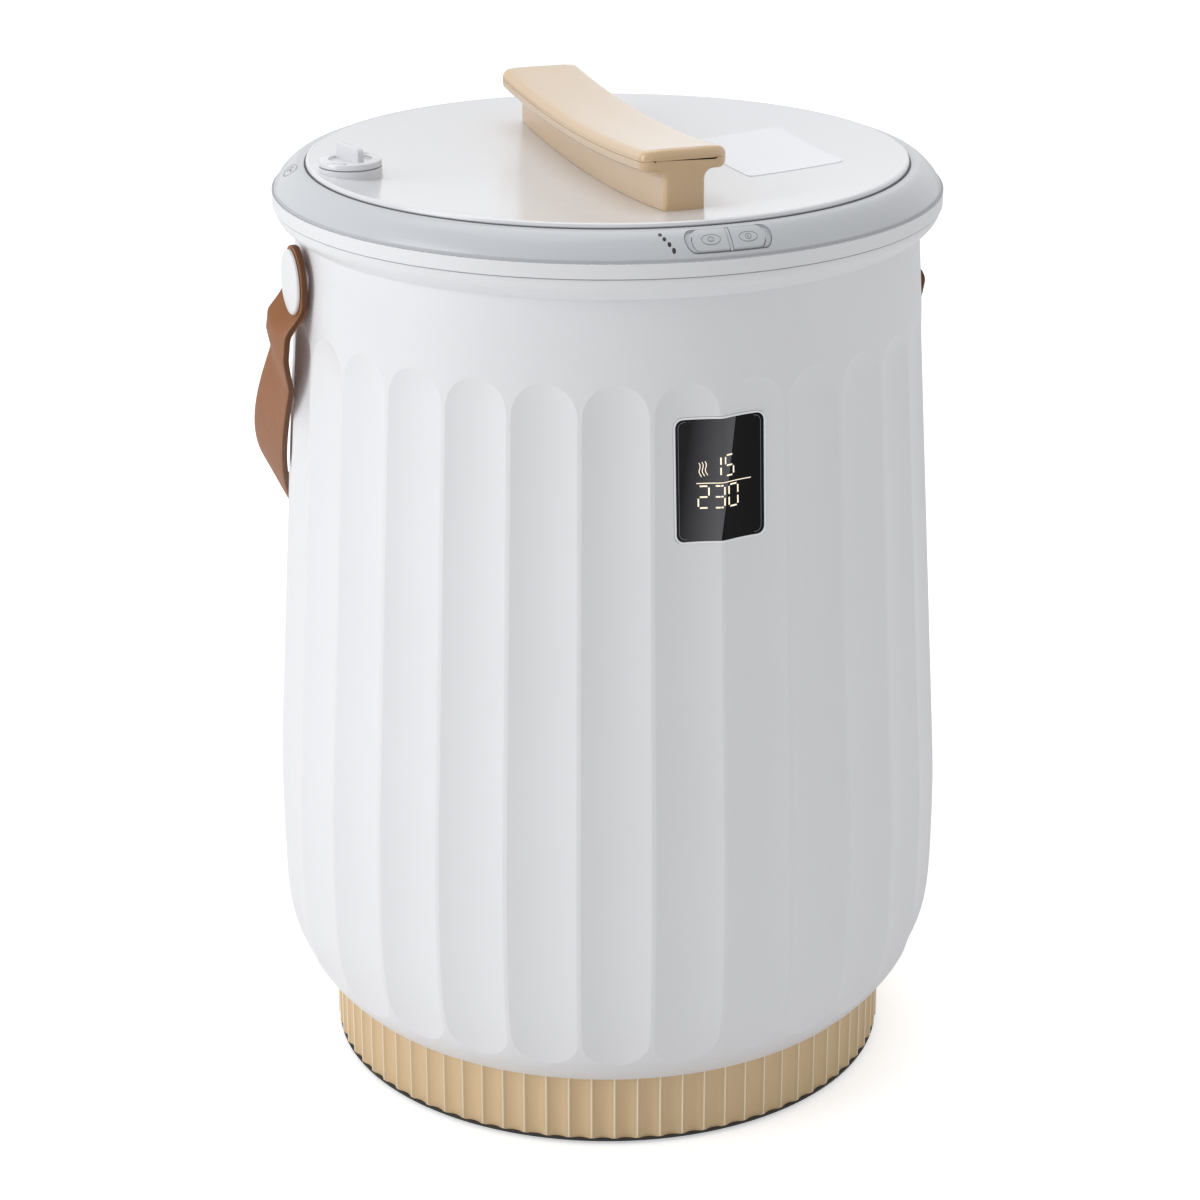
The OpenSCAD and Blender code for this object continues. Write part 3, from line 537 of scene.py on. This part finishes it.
def shell_rows():
    """Heights of the mesh rows, closer together round the flutes' rounded ends."""
    def even(a, b, n):
        return [float(z) for z in np.linspace(a, b, n)]

    low, high = FLUTE_BOT + FLUTE_END, FLUTE_TOP - FLUTE_END
    turns = (0, 9, 18, 27, 36, 45, 53, 61, 68, 75, 81, 86, 90)
    bends = [FLUTE_END * math.sin(math.radians(t)) for t in turns]
    zs = even(BODY_Z, FLUTE_BOT - 1.6, 5) + [low - e for e in reversed(bends)]
    zs += even(FLUTE_BOT + 18, BELLY_Z, 13) + even(BELLY_Z, high, 18)[1:-1] + [high + e for e in bends]
    return zs + even(FLUTE_TOP + 4, NECK_Z, 6)


def shell_angles(z):
    """Angles of one row's points: across each flute, then across the land after it, edge lines included."""
    s = bpy.context.scene.bucket_shell
    pitch, r = 360 / s.flutes, outer_r(z)
    t = max(0.0, FLUTE_BOT + FLUTE_END - z, z - FLUTE_TOP + FLUTE_END) / FLUTE_END
    widest = math.pi * r / s.flutes - s.land / MM / 2
    half = math.degrees(max(0.25, widest * math.sqrt(max(0.0, 1 - t * t))) / r)
    n = s.columns // 2
    across = [half * k / n for k in range(-n, n + 1)]
    across += [half + (pitch - 2 * half) * k / 6 for k in range(1, 6)]
    return [pitch * (i + 0.5) + a for i in range(s.flutes) for a in across]


def make_shell():
    rings = [[(skin_r(a, z), a, z) for a in shell_angles(z)] for z in shell_rows()]
    angles = shell_angles(BELLY_Z)
    low, high = 121.0, 131.2
    inside = [(z, outer_r(z) - WALL) for z in (FLUTE_TOP - FLUTE_END, BELLY_Z + 30, BELLY_Z, FLUTE_BOT + 12)]
    for z, r in [(NECK_Z, high), (FLUTE_TOP + 4, high)] + inside + [
            (FLUTE_BOT, low + 4.5), (BODY_Z + 3, low + 3.4), (BODY_Z + 3, low), (BODY_Z, low)]:
        rings.append([(r, a, z) for a in angles])
    points = [(r * math.sin(math.radians(a)), -r * math.cos(math.radians(a)), z)
              for ring in rings for r, a, z in ring]
    obj = piece("fluted_shell", points, tube_faces(len(angles), len(rings)), "shell", "housing",
                "white_shell", 9.0)
    d = bpy.context.scene.bucket_display
    hole = prism(rounded(d.width / MM + 0.3, d.height / MM + 0.3, 4.15, 0.0, d.middle / MM), -170.0, -120.0)
    carve(obj, [hole], smooth=9.0)
    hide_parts("body_shell")
    return obj


def patch(outer, inner, name, finish, slot, outline, inner_outline=None):
    """A plate that follows the skin between two depths, trimmed to an outline."""
    d = bpy.context.scene.bucket_display
    w, h, z0 = d.width / MM + 2, d.height / MM + 2, d.middle / MM
    nx, nz = 40, 14
    xs = [w * (i / nx - 0.5) for i in range(nx + 1)]
    ring = [(x, outer) for x in xs] + [(x, inner) for x in reversed(xs)]
    n = len(ring)
    points = [on_skin(x, z0 + h * (j / nz - 0.5), t) for j in range(nz + 1) for x, t in ring]
    faces = tube_faces(n, nz + 1, False)
    for k in (0, nz * n):
        faces += [(k + i, k + i + 1, k + n - 2 - i, k + n - 1 - i) for i in range(nx)]
    obj = piece(name, points, faces, finish, "housing", slot)
    carve(obj, [prism(outline, -170.0, -120.0)], "INTERSECT", 30.0)
    if inner_outline:
        carve(obj, [prism(inner_outline, -175.0, -115.0)], "DIFFERENCE", 30.0)
    return obj


def strip(points2, half, closed=False):
    """A flat ribbon along points in a plane: its outline quads as (left, right) pairs."""
    out, n = [], len(points2)
    for i, p in enumerate(points2):
        a = points2[(i - 1) % n] if closed or i else p
        b = points2[(i + 1) % n] if closed or i < n - 1 else p
        dx, dy = b[0] - a[0], b[1] - a[1]
        k = math.hypot(dx, dy) or 1.0
        u, v = dy / k * half, dx / k * half
        out.append(((p[0] - u, p[1] + v), (p[0] + u, p[1] - v)))
    return out


def ribbons(lines, place, thick):
    """Thin raised lines. lines is a list of (points, half width, closed); place maps x, y, depth to 3-D."""
    points, faces = [], []
    for line, half, closed in lines:
        pairs = strip(line, half, closed)
        base, n = len(points), len(pairs)
        for (l, r) in pairs:
            points += [place(*l, 0.0), place(*r, 0.0), place(*r, thick), place(*l, thick)]
        for i in range(n if closed else n - 1):
            a, b = base + 4 * i, base + 4 * ((i + 1) % n)
            faces += [(a + k, a + (k + 1) % 4, b + (k + 1) % 4, b + k) for k in range(4)]
        if not closed:
            faces += [(base, base + 1, base + 2, base + 3),
                      tuple(base + 4 * (n - 1) + k for k in (3, 2, 1, 0))]
    return points, faces


def along(a, b, step=1.2):
    n = max(1, int(math.hypot(b[0] - a[0], b[1] - a[1]) / step))
    return [(a[0] + (b[0] - a[0]) * k / n, a[1] + (b[1] - a[1]) * k / n) for k in range(n + 1)]


def ellipse(cx, cy, rx, ry, a0=0.0, a1=360.0, n=28):
    angles = [math.radians(a0 + (a1 - a0) * k / n) for k in range(n if a1 - a0 >= 360 else n + 1)]
    return [(cx + rx * math.cos(a), cy + ry * math.sin(a)) for a in angles]


SEGMENTS = {"0": "abcdef", "1": "bc", "2": "abged", "3": "abgcd", "5": "afgcd"}


def digit(glyph, x, z, w, h, half):
    """The lit bars of one digit, with x, z at its lower left."""
    g = 0.62
    bars = {"a": ((g, h), (w - g, h)), "g": ((g, h / 2), (w - g, h / 2)), "d": ((g, 0), (w - g, 0)),
            "f": ((0, h / 2 + g), (0, h - g)), "b": ((w, h / 2 + g), (w, h - g)),
            "e": ((0, g), (0, h / 2 - g)), "c": ((w, g), (w, h / 2 - g))}
    return [(along(*((x + u, z + v) for u, v in bars[k])), half, False) for k in SEGMENTS[glyph]]


def make_display():
    d = bpy.context.scene.bucket_display
    w, h, zc = d.width / MM, d.height / MM, d.middle / MM
    # the window's edge wall, coloured brighter than the shell: a painted highlight
    patch(-0.3, 1.6, "window_edge_highlight", "edge", "white_shell", rounded(w, h, 4, 0, zc),
          rounded(w - 1.5, h - 1.5, 3.3, 0, zc))
    glass = patch(0.06, 2.2, "display_glass", "glass", "black_plastic",
                  rounded(w - 1.55, h - 1.55, 3.25, 0, zc))
    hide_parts("display_window")

    def place(x, z, t):
        return on_skin(x, zc + z, 0.04 - t)

    half = 0.3
    lines = digit("1", -4.7, 1.5, 3.9, 8.4, half) + digit("5", 1.2, 1.5, 3.9, 8.4, half)
    for k, g in enumerate("230"):
        lines += digit(g, -9.9 + 6.35 * k, -11.4, 4.3, 9.0, half)
    lines.append((along((-10.6, -1.2), (13.4, -1.2)), 0.16, False))
    for k in range(3):
        wave = [(-8.7 + 1.25 * k - 0.16 * t + 0.42 * math.sin(t * 1.15 + 2.6), 1.5 + 0.3 * k + t)
                for t in np.linspace(0, 5.7, 11)]
        lines.append((wave, 0.15, False))
    points, faces = ribbons(lines, place, 0.05)
    piece("display_digits", points, faces, "glow", "housing", "white_clear", 30.0)
    points, faces = ribbons([(rounded(w - 3.6, h - 3.6, 2.6), 0.09, True)], place, 0.03)
    piece("display_border", points, faces, "mark", "housing", "black_plastic", 30.0)


def ease(u):
    t = min(1.0, max(0.0, u))
    return t * t * (3 - 2 * t)


STRAP_NEAR, STRAP_CLEAR = 0.9, 0.8
STRAP_LIMB, STRAP_PULL, STRAP_DROP, STRAP_OFF = 13.0, 47, 172.5, 11
BULGE_FROM, BULGE_OVER, BULGE_END = 12.8, 12.2, 70


def make_strap():
    """The leather strap: flat at its pivots, bulging past the collar, then leaning back round the body."""
    s = bpy.context.scene.bucket_strap
    width, thick, lean, limb = s.width / MM, s.thick / MM, s.lean, STRAP_LIMB
    near, far = outer_r(PIVOT_Z - width / 2) + STRAP_NEAR, COLLAR_R + STRAP_CLEAR
    drop = RIM_BOT - PIVOT_Z + 0.4
    down = np.array([0, math.sin(lean), -math.cos(lean)])
    side = np.array([0, math.cos(lean), math.sin(lean)])
    back_z, back_lean = PIVOT_Z - STRAP_DROP, math.radians(30)
    back_y, hug = outer_r(back_z) + STRAP_OFF, outer_r(PIVOT_Z - 91) + 4.6
    top = np.array([-near - thick / 2, 0, PIVOT_Z])
    knee = top + limb * down
    pull = knee + STRAP_PULL * down

    def reach(rho):
        if rho < drop:
            return near - 2 + (far - near + 2) * ease((rho - BULGE_FROM) / BULGE_OVER)
        return math.sqrt(max(0.0, far ** 2 + drop ** 2 - rho ** 2))

    def path(u):
        if u <= 0:
            return top + (u + 1) * limb * down
        return bez(knee, (-hug, pull[1], pull[2]), (-0.7 * s_belly() - 54.6, back_y, back_z),
                   (0, back_y, back_z), u)

    def tangent(u):
        if u <= 0:
            return down
        if u >= 1:
            return np.array([1.0, 0, 0])
        t = path(u + 0.004) - path(u - 0.004)
        return t / np.linalg.norm(t)

    def across(u):
        f, t, p = ease(u), tangent(u), path(u)
        q = np.array([p[0], p[1], 0]) / math.hypot(p[0], p[1])
        v = (1 - f) * side + f * (math.sin(back_lean) * q + np.array([0, 0, math.cos(back_lean)]))
        v = v - v.dot(t) * t
        return v / np.linalg.norm(v)

    def ring(u):
        d = (u + 1) * limb
        hw = math.sqrt(max(0.01, width * width / 4 - d * d)) if d < 0 else width / 2
        v = across(u)
        n = np.array([-1.0, 0, 0]) if u <= 0 else np.cross(v, tangent(u))
        n = n / np.linalg.norm(n)

        def spot(k):
            p = path(u) + k * hw * v
            rho = math.hypot(p[1], p[2] - PIVOT_Z)
            if rho < BULGE_END:
                g = reach(rho) + p[0] + thick / 2
                p[0] -= ease(min(d, limb) / 6) * (g + math.sqrt(g * g + 0.36)) / 2
            return p
        c = min(0.45, 0.3 * hw) / hw
        flat = [-1 + c, -1 + 2.4 * c] + list(np.linspace(-0.75, 0.75, 7)) + [1 - 2.4 * c, 1 - c]
        round_in, edge_in = 0.86, 0.55 * thick / 2 * n

        def face(k, way):
            return spot(k) + way * thick / 2 * n * (round_in if abs(k) > 1 - 1.5 * c else 1)

        out = [face(k, 1) for k in flat] + [spot(1) + edge_in, spot(1) - edge_in]
        out += [face(k, -1) for k in reversed(flat)] + [spot(-1) - edge_in, spot(-1) + edge_in]
        return out

    us = [-width / 2 * math.cos(math.radians(a)) / limb - 1 for a in np.arange(4, 88, 6)]
    us += [d / limb - 1 for d in np.arange(0, limb, 1.5)]
    us += [k / 100 for k in range(20)] + [k / 50 for k in range(10, 51)]
    half = [ring(u) for u in us]
    rings = half + [[(-x, y, z) for x, y, z in r] for r in reversed(half[:-1])]
    n, m = len(rings[0]), len(rings)
    faces = tube_faces(n, m, False) + ends(n, m)
    edge = {10, 11, 12, 23, 24, 25}
    marks = [1 if (i % n) in edge else 0 for i in range(n * (m - 1))] + [1, 1]
    points = [tuple(map(float, p)) for r in rings for p in r]
    obj = piece("leather_strap", points, faces, ["leather", "cut"], "strap", "leather", 60.0, marks)
    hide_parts("strap")


def handle_ring(y, rows, gap):
    """One upright section of the handle at y: the half outline between two heights, mirrored."""
    s = bpy.context.scene.bucket_handle
    end = max(0.0, s.length / MM / 2 - abs(y))

    def tuck(r):
        return r - math.sqrt(max(0.0, r * r - (r - end) ** 2)) if end < r else 0.0

    w, f, h = s.foot / MM / 2 - tuck(2.2), s.width / MM / 2 - tuck(4.6), s.height / MM
    low, high, split = tuck(2.0), tuck(3.0), h - 4.6

    def arc(cx, cy, r, a0, a1, n=8):
        turns = [math.radians(a0 + (a1 - a0) * k / n) for k in range(n + 1)]
        return [(cx + r * math.cos(t), cy + r * math.sin(t)) for t in turns]

    if rows == "base":
        half = [(w - 0.3, 0.0), (w, 0.3), (w, 6.0)] + arc(w + 4, h - 13 + low, 4, 180, 90)
        half += arc(f - 2.8, h - 6.2 + low * 0.6, 2.8 - low * 0.4, -90, -12)
        half += [(f, split - gap - 0.25), (f - 0.25, split - gap), (f - 1.6, split - gap)]
    else:
        half = [(f - 1.6, split + gap), (f - 0.25, split + gap), (f, split + gap + 0.25)]
        half += arc(f - 3.6, h - 3.8 - high * 0.6, 3.6 - high * 0.4, 8, 84, 12)
        half += [(f * 0.6, h - high + 0.08), (f * 0.25, h - high + 0.12)]
    return half + [(-x, z) for x, z in reversed(half)]


def make_handle():
    """The handle's two mouldings, swept along the dish, with rounded ends and a fine parting line."""
    s = bpy.context.scene.bucket_handle
    reach = s.length / MM / 2
    near = [0.0, 0.12, 0.35, 0.7, 1.15, 1.7, 2.4, 3.2, 4.2, 5.2]
    ys = [-reach + e for e in near] + list(np.linspace(-reach + 9, reach - 9, 44))
    ys += [reach - e for e in reversed(near)]
    middle = EDGE_Z - DISH + DISH_R
    for rows, node in (("base", "handle_base"), ("top", "handle_top")):
        rings = [[(x, y, middle - math.sqrt((DISH_R - 0.04 - z) ** 2 - y * y))
                  for x, z in handle_ring(y, rows, 0.05)] for y in ys]
        n, m = len(rings[0]), len(rings)
        faces = tube_faces(n, m, False) + ends(n, m)
        obj = piece(node.replace("handle", "handle_moulding"), [p for r in rings for p in r], faces, "grip",
                    "lid", "tan_plastic", 35.0)
        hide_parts(node)


def bean(first, last, half):
    """A slot's outline on the rim, in plan, between two angles from the front, with round ends."""
    turn = math.degrees(half / BUTTON_R)
    a, b = first + turn, last - turn
    rim = [(BUTTON_R + half, t) for t in np.linspace(a, b, 24)]
    rim += [(BUTTON_R - half, t) for t in np.linspace(b, a, 24)]
    out = [(r * math.sin(math.radians(t)), -r * math.cos(math.radians(t))) for r, t in rim]
    for at, index, k in ((b, 24, 1), (a, len(out) + 9, -1)):
        c = math.radians(at)
        middle = (BUTTON_R * math.sin(c), -BUTTON_R * math.cos(c))
        cap = []
        for q in np.linspace(90, -90, 11)[1:-1]:
            u, v = half * math.sin(math.radians(q)) * k, half * math.cos(math.radians(q)) * k
            cap.append((middle[0] + u * math.sin(c) + v * math.cos(c),
                        middle[1] - u * math.cos(c) + v * math.sin(c)))
        out[index:index] = cap
    return out


def hoop_piece(name, r, z, wide, tall, finish, body, slot):
    """A thin ring round the axis with softened corners."""
    corners = ((-1, -0.5), (-0.5, -1), (0.5, -1), (1, -0.5), (1, 0.5), (0.5, 1), (-0.5, 1), (-1, 0.5))
    section = [(r + wide / 2 * x, z + tall / 2 * y) for x, y in corners]
    points = [(u * math.cos(t), u * math.sin(t), v)
              for t in np.linspace(0, 2 * math.pi, 241)[:-1] for u, v in section]
    return piece(name, points, tube_faces(8, 240), finish, body, slot, 60.0)


def make_shadow_lines():
    """Painted shade lines: dark round the buttons' recess and between lid and rim, pale above and below the
    collar band.
    """
    def flat(x, y, t):
        return on_rim(x, y, 0.02 + t)

    # a dark ribbon painted as the shadow in the gap round the buttons
    points, faces = ribbons([(bean(-6.9, 8.1, BUTTON_HALF + 0.2), 0.13, True)], flat, 0.03)
    piece("recess_gap_shadow", points, faces, "seam", "housing", "grey_plastic", 30.0)
    # a dark ring painted as the shadow in the gap between lid and rim
    hoop_piece("lid_gap_shadow", LID_R + 0.27, EDGE_Z - 2.2, 0.44, 1.0, "seam", "lid", "grey_plastic")
    # grey lines painted as the shade along the collar band's steps
    for name, r, z, wide, tall in (("collar_shade_line", COLLAR_R - 0.55, EDGE_Z - 18.75, 0.5, 0.3),
                                   ("rim_shade_line", COLLAR_R - 0.5, RIM_BOT - 0.05, 1.0, 0.2)):
        hoop_piece(name, r, z, wide, tall, "pale_seam", "housing", "grey_plastic")


def lathe(name, profile, finish, body, slot, turns=96, smooth=30.0):
    """A closed solid of revolution, from a profile of radius and height that starts and ends at 0."""
    inner = profile[1:-1]
    points = [(r * math.cos(t), r * math.sin(t), z) for r, z in inner
              for t in np.linspace(0, 2 * math.pi, turns + 1)[:-1]]
    faces = tube_faces(turns, len(inner), False)
    points += [(0, 0, profile[0][1]), (0, 0, profile[-1][1])]
    n, last = len(points), (len(inner) - 1) * turns
    faces += [(n - 2, i, (i + 1) % turns) for i in range(turns)]
    faces += [(n - 1, last + i, last + (i + 1) % turns) for i in range(turns)]
    return piece(name, points, faces, finish, body, slot, smooth)


def block(outline, steps):
    """An outline in the Y-Z plane, drawn along X in steps of (x, how far the outline shrinks)."""
    mid = (sum(p[0] for p in outline) / len(outline), sum(p[1] for p in outline) / len(outline))
    points = []
    for x, shrink in steps:
        for y, z in outline:
            k = 1 - shrink / max(0.1, math.hypot(y - mid[0], z - mid[1]))
            points.append((x, mid[0] + (y - mid[0]) * k, mid[1] + (z - mid[1]) * k))
    n, m = len(outline), len(steps)
    return cutter(points, tube_faces(n, m, False) + ends(n, m))


def on_cap(x, y):
    """A point of the scent cap in plan, from its own axes to the part's."""
    c, s = math.cos(CAP_TURN), math.sin(CAP_TURN)
    return CAP_X + x * c - y * s, CAP_Y + x * s + y * c


def make_cap():
    """The scent cap: a bevelled disc with two finger hollows and an upright grip."""
    z0, r, t = EDGE_Z + 1.55, CAP_R, CAP_THICK
    profile = [(0, z0 + 0.95), (8.3, z0 + 0.95), (8.3, z0), (r - 0.3, z0), (r, z0 + 0.3), (r, z0 + t - 0.8),
               (r - 0.25, z0 + t - 0.25), (r - 0.8, z0 + t), (0, z0 + t)]
    obj = lathe("scent_cap_shell", profile, "lid", "scent_cap", "white_lid")
    top, floor, wall = z0 + t + 1, z0 + t - 1.1, 2.0
    line = ellipse(0, 0, 9.6, 9.6, -78, 78, 14)
    hollows = []
    for side in (1, -1):
        points = [(side * (wall + (u - wall) * k), v * k, z)
                  for z, k in ((floor, 0.9), (top, 1.0)) for u, v in line]
        hollows.append(cutter(points, tube_faces(15, 2, False) + ends(15, 2)))
    carve(obj, hollows, smooth=30.0)
    low, high, end = z0 + t - 0.4, z0 + t + 5.6, 9.0
    grip = [(-end, low), (end, low), (end - 0.1, high - 2.6)]
    grip += [(end - 2.3 + 2.2 * math.cos(math.radians(a)), high - 2.4 + 2.2 * math.sin(math.radians(a)))
             for a in (15, 40, 65, 90)]
    grip += [(-y, z) for y, z in reversed(grip[2:])]
    carve(obj, [block(grip, [(-1.6, 0.4), (-1.3, 0.0), (1.3, 0.0), (1.6, 0.4)])], "UNION", 30.0)
    for v in obj.data.vertices:
        x, y = on_cap(v.co.x / MM, v.co.y / MM)
        v.co = Vector((x * MM, y * MM, v.co.z))
    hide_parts("scent_cap")


def make_marks():
    """Printed marks: a ring and a sign on each button, a plain sign on the rim, arrows on the cap."""
    def around(angle, r, lift):
        """Places x along the rim and y outwards from a point at that angle from the front."""
        c, s = math.cos(math.radians(angle)), math.sin(math.radians(angle))

        def place(x, y, t):
            u, v = r + y, x
            return on_rim(u * s + v * c, -u * c + v * s, lift + t)
        return place

    def knob(x, y, t):
        return (*on_cap(x, y), 417.25 + t)

    power = [(ellipse(0, 0, 3.9, 1.6), 0.1, True), (ellipse(0, 0, 1.15, 0.75, 110, 430, 16), 0.12, False),
             (along((0, 0.1), (0, 0.95), 0.4), 0.12, False)]
    timer = [(ellipse(0, 0, 3.9, 1.55), 0.1, True), (ellipse(0, 0, 1.2, 0.8), 0.11, True),
             (along((-0.5, 0), (0.05, 0), 0.4), 0.1, False), (along((0.05, 0), (0.05, 0.5), 0.4), 0.1, False)]
    plain = [(ellipse(0, 0, 6.6, 2.9), 0.16, True), (ellipse(-1.6, 0, 1.5, 1.3), 0.2, True),
             (along((0.2, 0), (4.2, 0), 0.8), 0.22, False)]
    arrows = []
    for k in (0, 180):
        arrows.append((ellipse(0, 0, 11.7, 11.7, 20 + k, 52 + k, 8), 0.16, False))
        tip = ellipse(0, 0, 11.7, 11.7, 52 + k, 53 + k, 1)[0]
        for t in (150, 215):
            q = math.radians(52 + k + 90 + t + 180)
            barb = (tip[0] - 1.2 * math.cos(q), tip[1] - 1.2 * math.sin(q))
            arrows.append((along(tip, barb, 0.5), 0.15, False))
    for name, lines, place, thick, body, slot in (
            ("power_sign", power, around(-2.6, 138.5, 0.36), 0.04, "power_button", "grey_plastic"),
            ("timer_sign", timer, around(3.9, 138.5, 0.36), 0.04, "timer_button", "grey_plastic"),
            ("rim_mark", plain, around(-101.0, 135.6, 0.02), 0.04, "housing", "grey_plastic"),
            ("cap_arrows", arrows, knob, 0.05, "scent_cap", "white_lid")):
        points, faces = ribbons(lines, place, thick)
        piece(name, points, faces, "mark", body, slot, 30.0)


def make_finishes():
    for name, nodes in NODE_FINISH.items():
        for node in nodes.split():
            materials = NODES[node].data.materials
            materials.clear()
            materials.append(finishes()[name].material)


def area(name, place, target, size, power):
    light = bpy.data.lights.new(name, "AREA")
    light.shape, light.energy = "RECTANGLE", power
    light.size, light.size_y = size
    obj = bpy.data.objects.new(name, light)
    bpy.context.scene.collection.objects.link(obj)
    obj.location = place
    obj.rotation_euler = (Vector(target) - Vector(place)).to_track_quat("-Z", "Y").to_euler()


def make_stage():
    scene = bpy.context.scene
    scene.view_settings.view_transform = "Standard"
    world = bpy.data.worlds.new("studio")
    scene.world = world
    world.use_nodes = True
    t = world.node_tree
    back = t.nodes["Background"]
    path, way = (t.nodes.new(k) for k in ("ShaderNodeLightPath", "ShaderNodeTexCoord"))
    parts = t.nodes.new("ShaderNodeSeparateXYZ")
    t.links.new(way.outputs["Generated"], parts.inputs[0])
    x, y, z = (Sock(t, o) for o in parts.outputs)
    seen = Sock(t, path.outputs["Is Camera Ray"])
    for kind in ("Is Glossy Ray", "Is Transmission Ray"):
        seen = seen.math("MAXIMUM", Sock(t, path.outputs[kind]))
    room = 0.52 - 0.03 * x + 0.14 * y + 0.12 * z
    plug(t, back.inputs["Color"], (1, 1, 1, 1))
    plug(t, back.inputs["Strength"], seen + (1 - seen) * room)
    floor = bpy.data.meshes.new("studio_floor")
    floor.from_pydata([(-9, -9, 0), (9, -9, 0), (9, 9, 0), (-9, 9, 0)], [], [(0, 1, 2, 3)])
    obj = bpy.data.objects.new("studio_floor", floor)
    scene.collection.objects.link(obj)
    m = bpy.data.materials.new("studio_white")
    m.use_nodes = True
    t = m.node_tree
    shader, out = t.nodes["Principled BSDF"], t.nodes["Material Output"]
    shader.inputs["Base Color"].default_value = (0.9, 0.9, 0.9, 1)
    shader.inputs["Roughness"].default_value = 0.9
    kinds = ("ShaderNodeEmission", "ShaderNodeAddShader", "ShaderNodeLightPath")
    glow, add, path = (t.nodes.new(k) for k in kinds)
    plug(t, glow.inputs["Strength"], Sock(t, path.outputs["Is Camera Ray"]) * 0.5)
    t.links.new(shader.outputs[0], add.inputs[0])
    t.links.new(glow.outputs[0], add.inputs[1])
    t.links.new(add.outputs[0], out.inputs["Surface"])
    floor.materials.append(m)
    obj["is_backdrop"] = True
    aim = (0, 0, 0.22)
    area("key_left", (-2.0, -0.2, 1.0), aim, (1.0, 1.6), 16)
    area("fill_right", (1.8, -0.9, 0.9), aim, (1.0, 1.8), 2.6)
    area("top", (-0.1, 0.5, 2.2), aim, (1.6, 1.6), 11)


CAMERA_AZIMUTH, CAMERA_ELEVATION = math.radians(-19.4), math.radians(21.0)
CAMERA_DISTANCE, CAMERA_AIM_Z = 1.3312, 0.2072
LENS, LENS_SHIFT = 87.96, -0.00625


def make_camera():
    data = bpy.data.cameras.new("camera")
    data.sensor_width, data.lens, data.sensor_fit = 36, LENS, "HORIZONTAL"
    data.shift_x = LENS_SHIFT
    cam = bpy.data.objects.new("camera", data)
    bpy.context.scene.collection.objects.link(cam)
    az, el = CAMERA_AZIMUTH, CAMERA_ELEVATION
    away = CAMERA_DISTANCE * math.cos(el)
    cam.location = (away * math.sin(az), -away * math.cos(az), CAMERA_AIM_Z + CAMERA_DISTANCE * math.sin(el))
    cam.rotation_euler = (math.radians(90) - el, 0, az)
    bpy.context.scene.camera = cam


class BUCKET_OT_stage(Operator):
    """Set the camera, the white floor and the soft lights"""
    bl_idname = "bucket.stage"
    bl_label = "Stage"

    def execute(self, context):
        make_camera()
        make_stage()
        return {"FINISHED"}


class BUCKET_OT_finishes(Operator):
    """Give every solid its finish"""
    bl_idname = "bucket.finishes"
    bl_label = "Finishes"

    def execute(self, context):
        make_finishes()
        return {"FINISHED"}


class BUCKET_OT_shell(Operator):
    """Make the smooth fluted shell"""
    bl_idname = "bucket.shell"
    bl_label = "Fluted shell"

    def execute(self, context):
        make_shell()
        return {"FINISHED"}


class BUCKET_OT_display(Operator):
    """Make the display glass, its edge and its lit digits"""
    bl_idname = "bucket.display"
    bl_label = "Display"

    def execute(self, context):
        make_display()
        return {"FINISHED"}


class BUCKET_OT_strap(Operator):
    """Make the leather strap with its cut edges"""
    bl_idname = "bucket.strap"
    bl_label = "Strap"

    def execute(self, context):
        make_strap()
        return {"FINISHED"}


class BUCKET_OT_handle(Operator):
    """Make the two rounded mouldings of the lid's handle"""
    bl_idname = "bucket.handle"
    bl_label = "Handle"

    def execute(self, context):
        make_handle()
        return {"FINISHED"}


class BUCKET_OT_cap(Operator):
    """Make the scent cap with its hollows and its grip"""
    bl_idname = "bucket.cap"
    bl_label = "Scent cap"

    def execute(self, context):
        make_cap()
        return {"FINISHED"}


class BUCKET_OT_shadow_lines(Operator):
    """Add the painted shadow lines of the rim and the lid"""
    bl_idname = "bucket.seams"
    bl_label = "Shadow lines"

    def execute(self, context):
        make_shadow_lines()
        return {"FINISHED"}


class BUCKET_OT_marks(Operator):
    """Print the marks on the buttons, the rim and the scent cap"""
    bl_idname = "bucket.marks"
    bl_label = "Marks"

    def execute(self, context):
        make_marks()
        return {"FINISHED"}


class BUCKET_PT_panel(Panel):
    bl_label = "Towel Warmer Bucket"
    bl_space_type = "VIEW_3D"
    bl_region_type = "UI"
    bl_category = "Bucket"

    def draw(self, context):
        for step in STEPS:
            self.layout.operator(step)
        for group in GROUPS:
            data = getattr(context.scene, group)
            for prop in data.__annotations__:
                self.layout.prop(data, prop)


STEPS = ("bucket.stage", "bucket.finishes", "bucket.shell", "bucket.display", "bucket.strap", "bucket.handle",
         "bucket.cap", "bucket.seams", "bucket.marks")
GROUPS = {"bucket_shell": ShellSizes, "bucket_display": DisplaySizes, "bucket_strap": StrapSizes,
          "bucket_handle": HandleSizes, "bucket_colours": Colours}
CLASSES = (BUCKET_OT_stage, BUCKET_OT_finishes, BUCKET_OT_shell, BUCKET_OT_display, BUCKET_OT_strap,
           BUCKET_OT_handle, BUCKET_OT_cap, BUCKET_OT_shadow_lines, BUCKET_OT_marks, BUCKET_PT_panel)


def register():
    for cls in tuple(GROUPS.values()) + CLASSES:
        bpy.utils.register_class(cls)
    for name, group in GROUPS.items():
        setattr(bpy.types.Scene, name, PointerProperty(type=group))


def unregister():
    for name in GROUPS:
        delattr(bpy.types.Scene, name)
    for cls in reversed(tuple(GROUPS.values()) + CLASSES):
        bpy.utils.unregister_class(cls)


def main():
    register()
    for step in STEPS:
        group, name = step.split(".")
        getattr(getattr(bpy.ops, group), name)()
    bpy.context.view_layer.update()
    boxes = {"cad": CAD_BOX, "visual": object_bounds()}
    boxes = {key: [list(map(float, corner)) for corner in box] for key, box in boxes.items()}


if __name__ == "__main__":
    main()
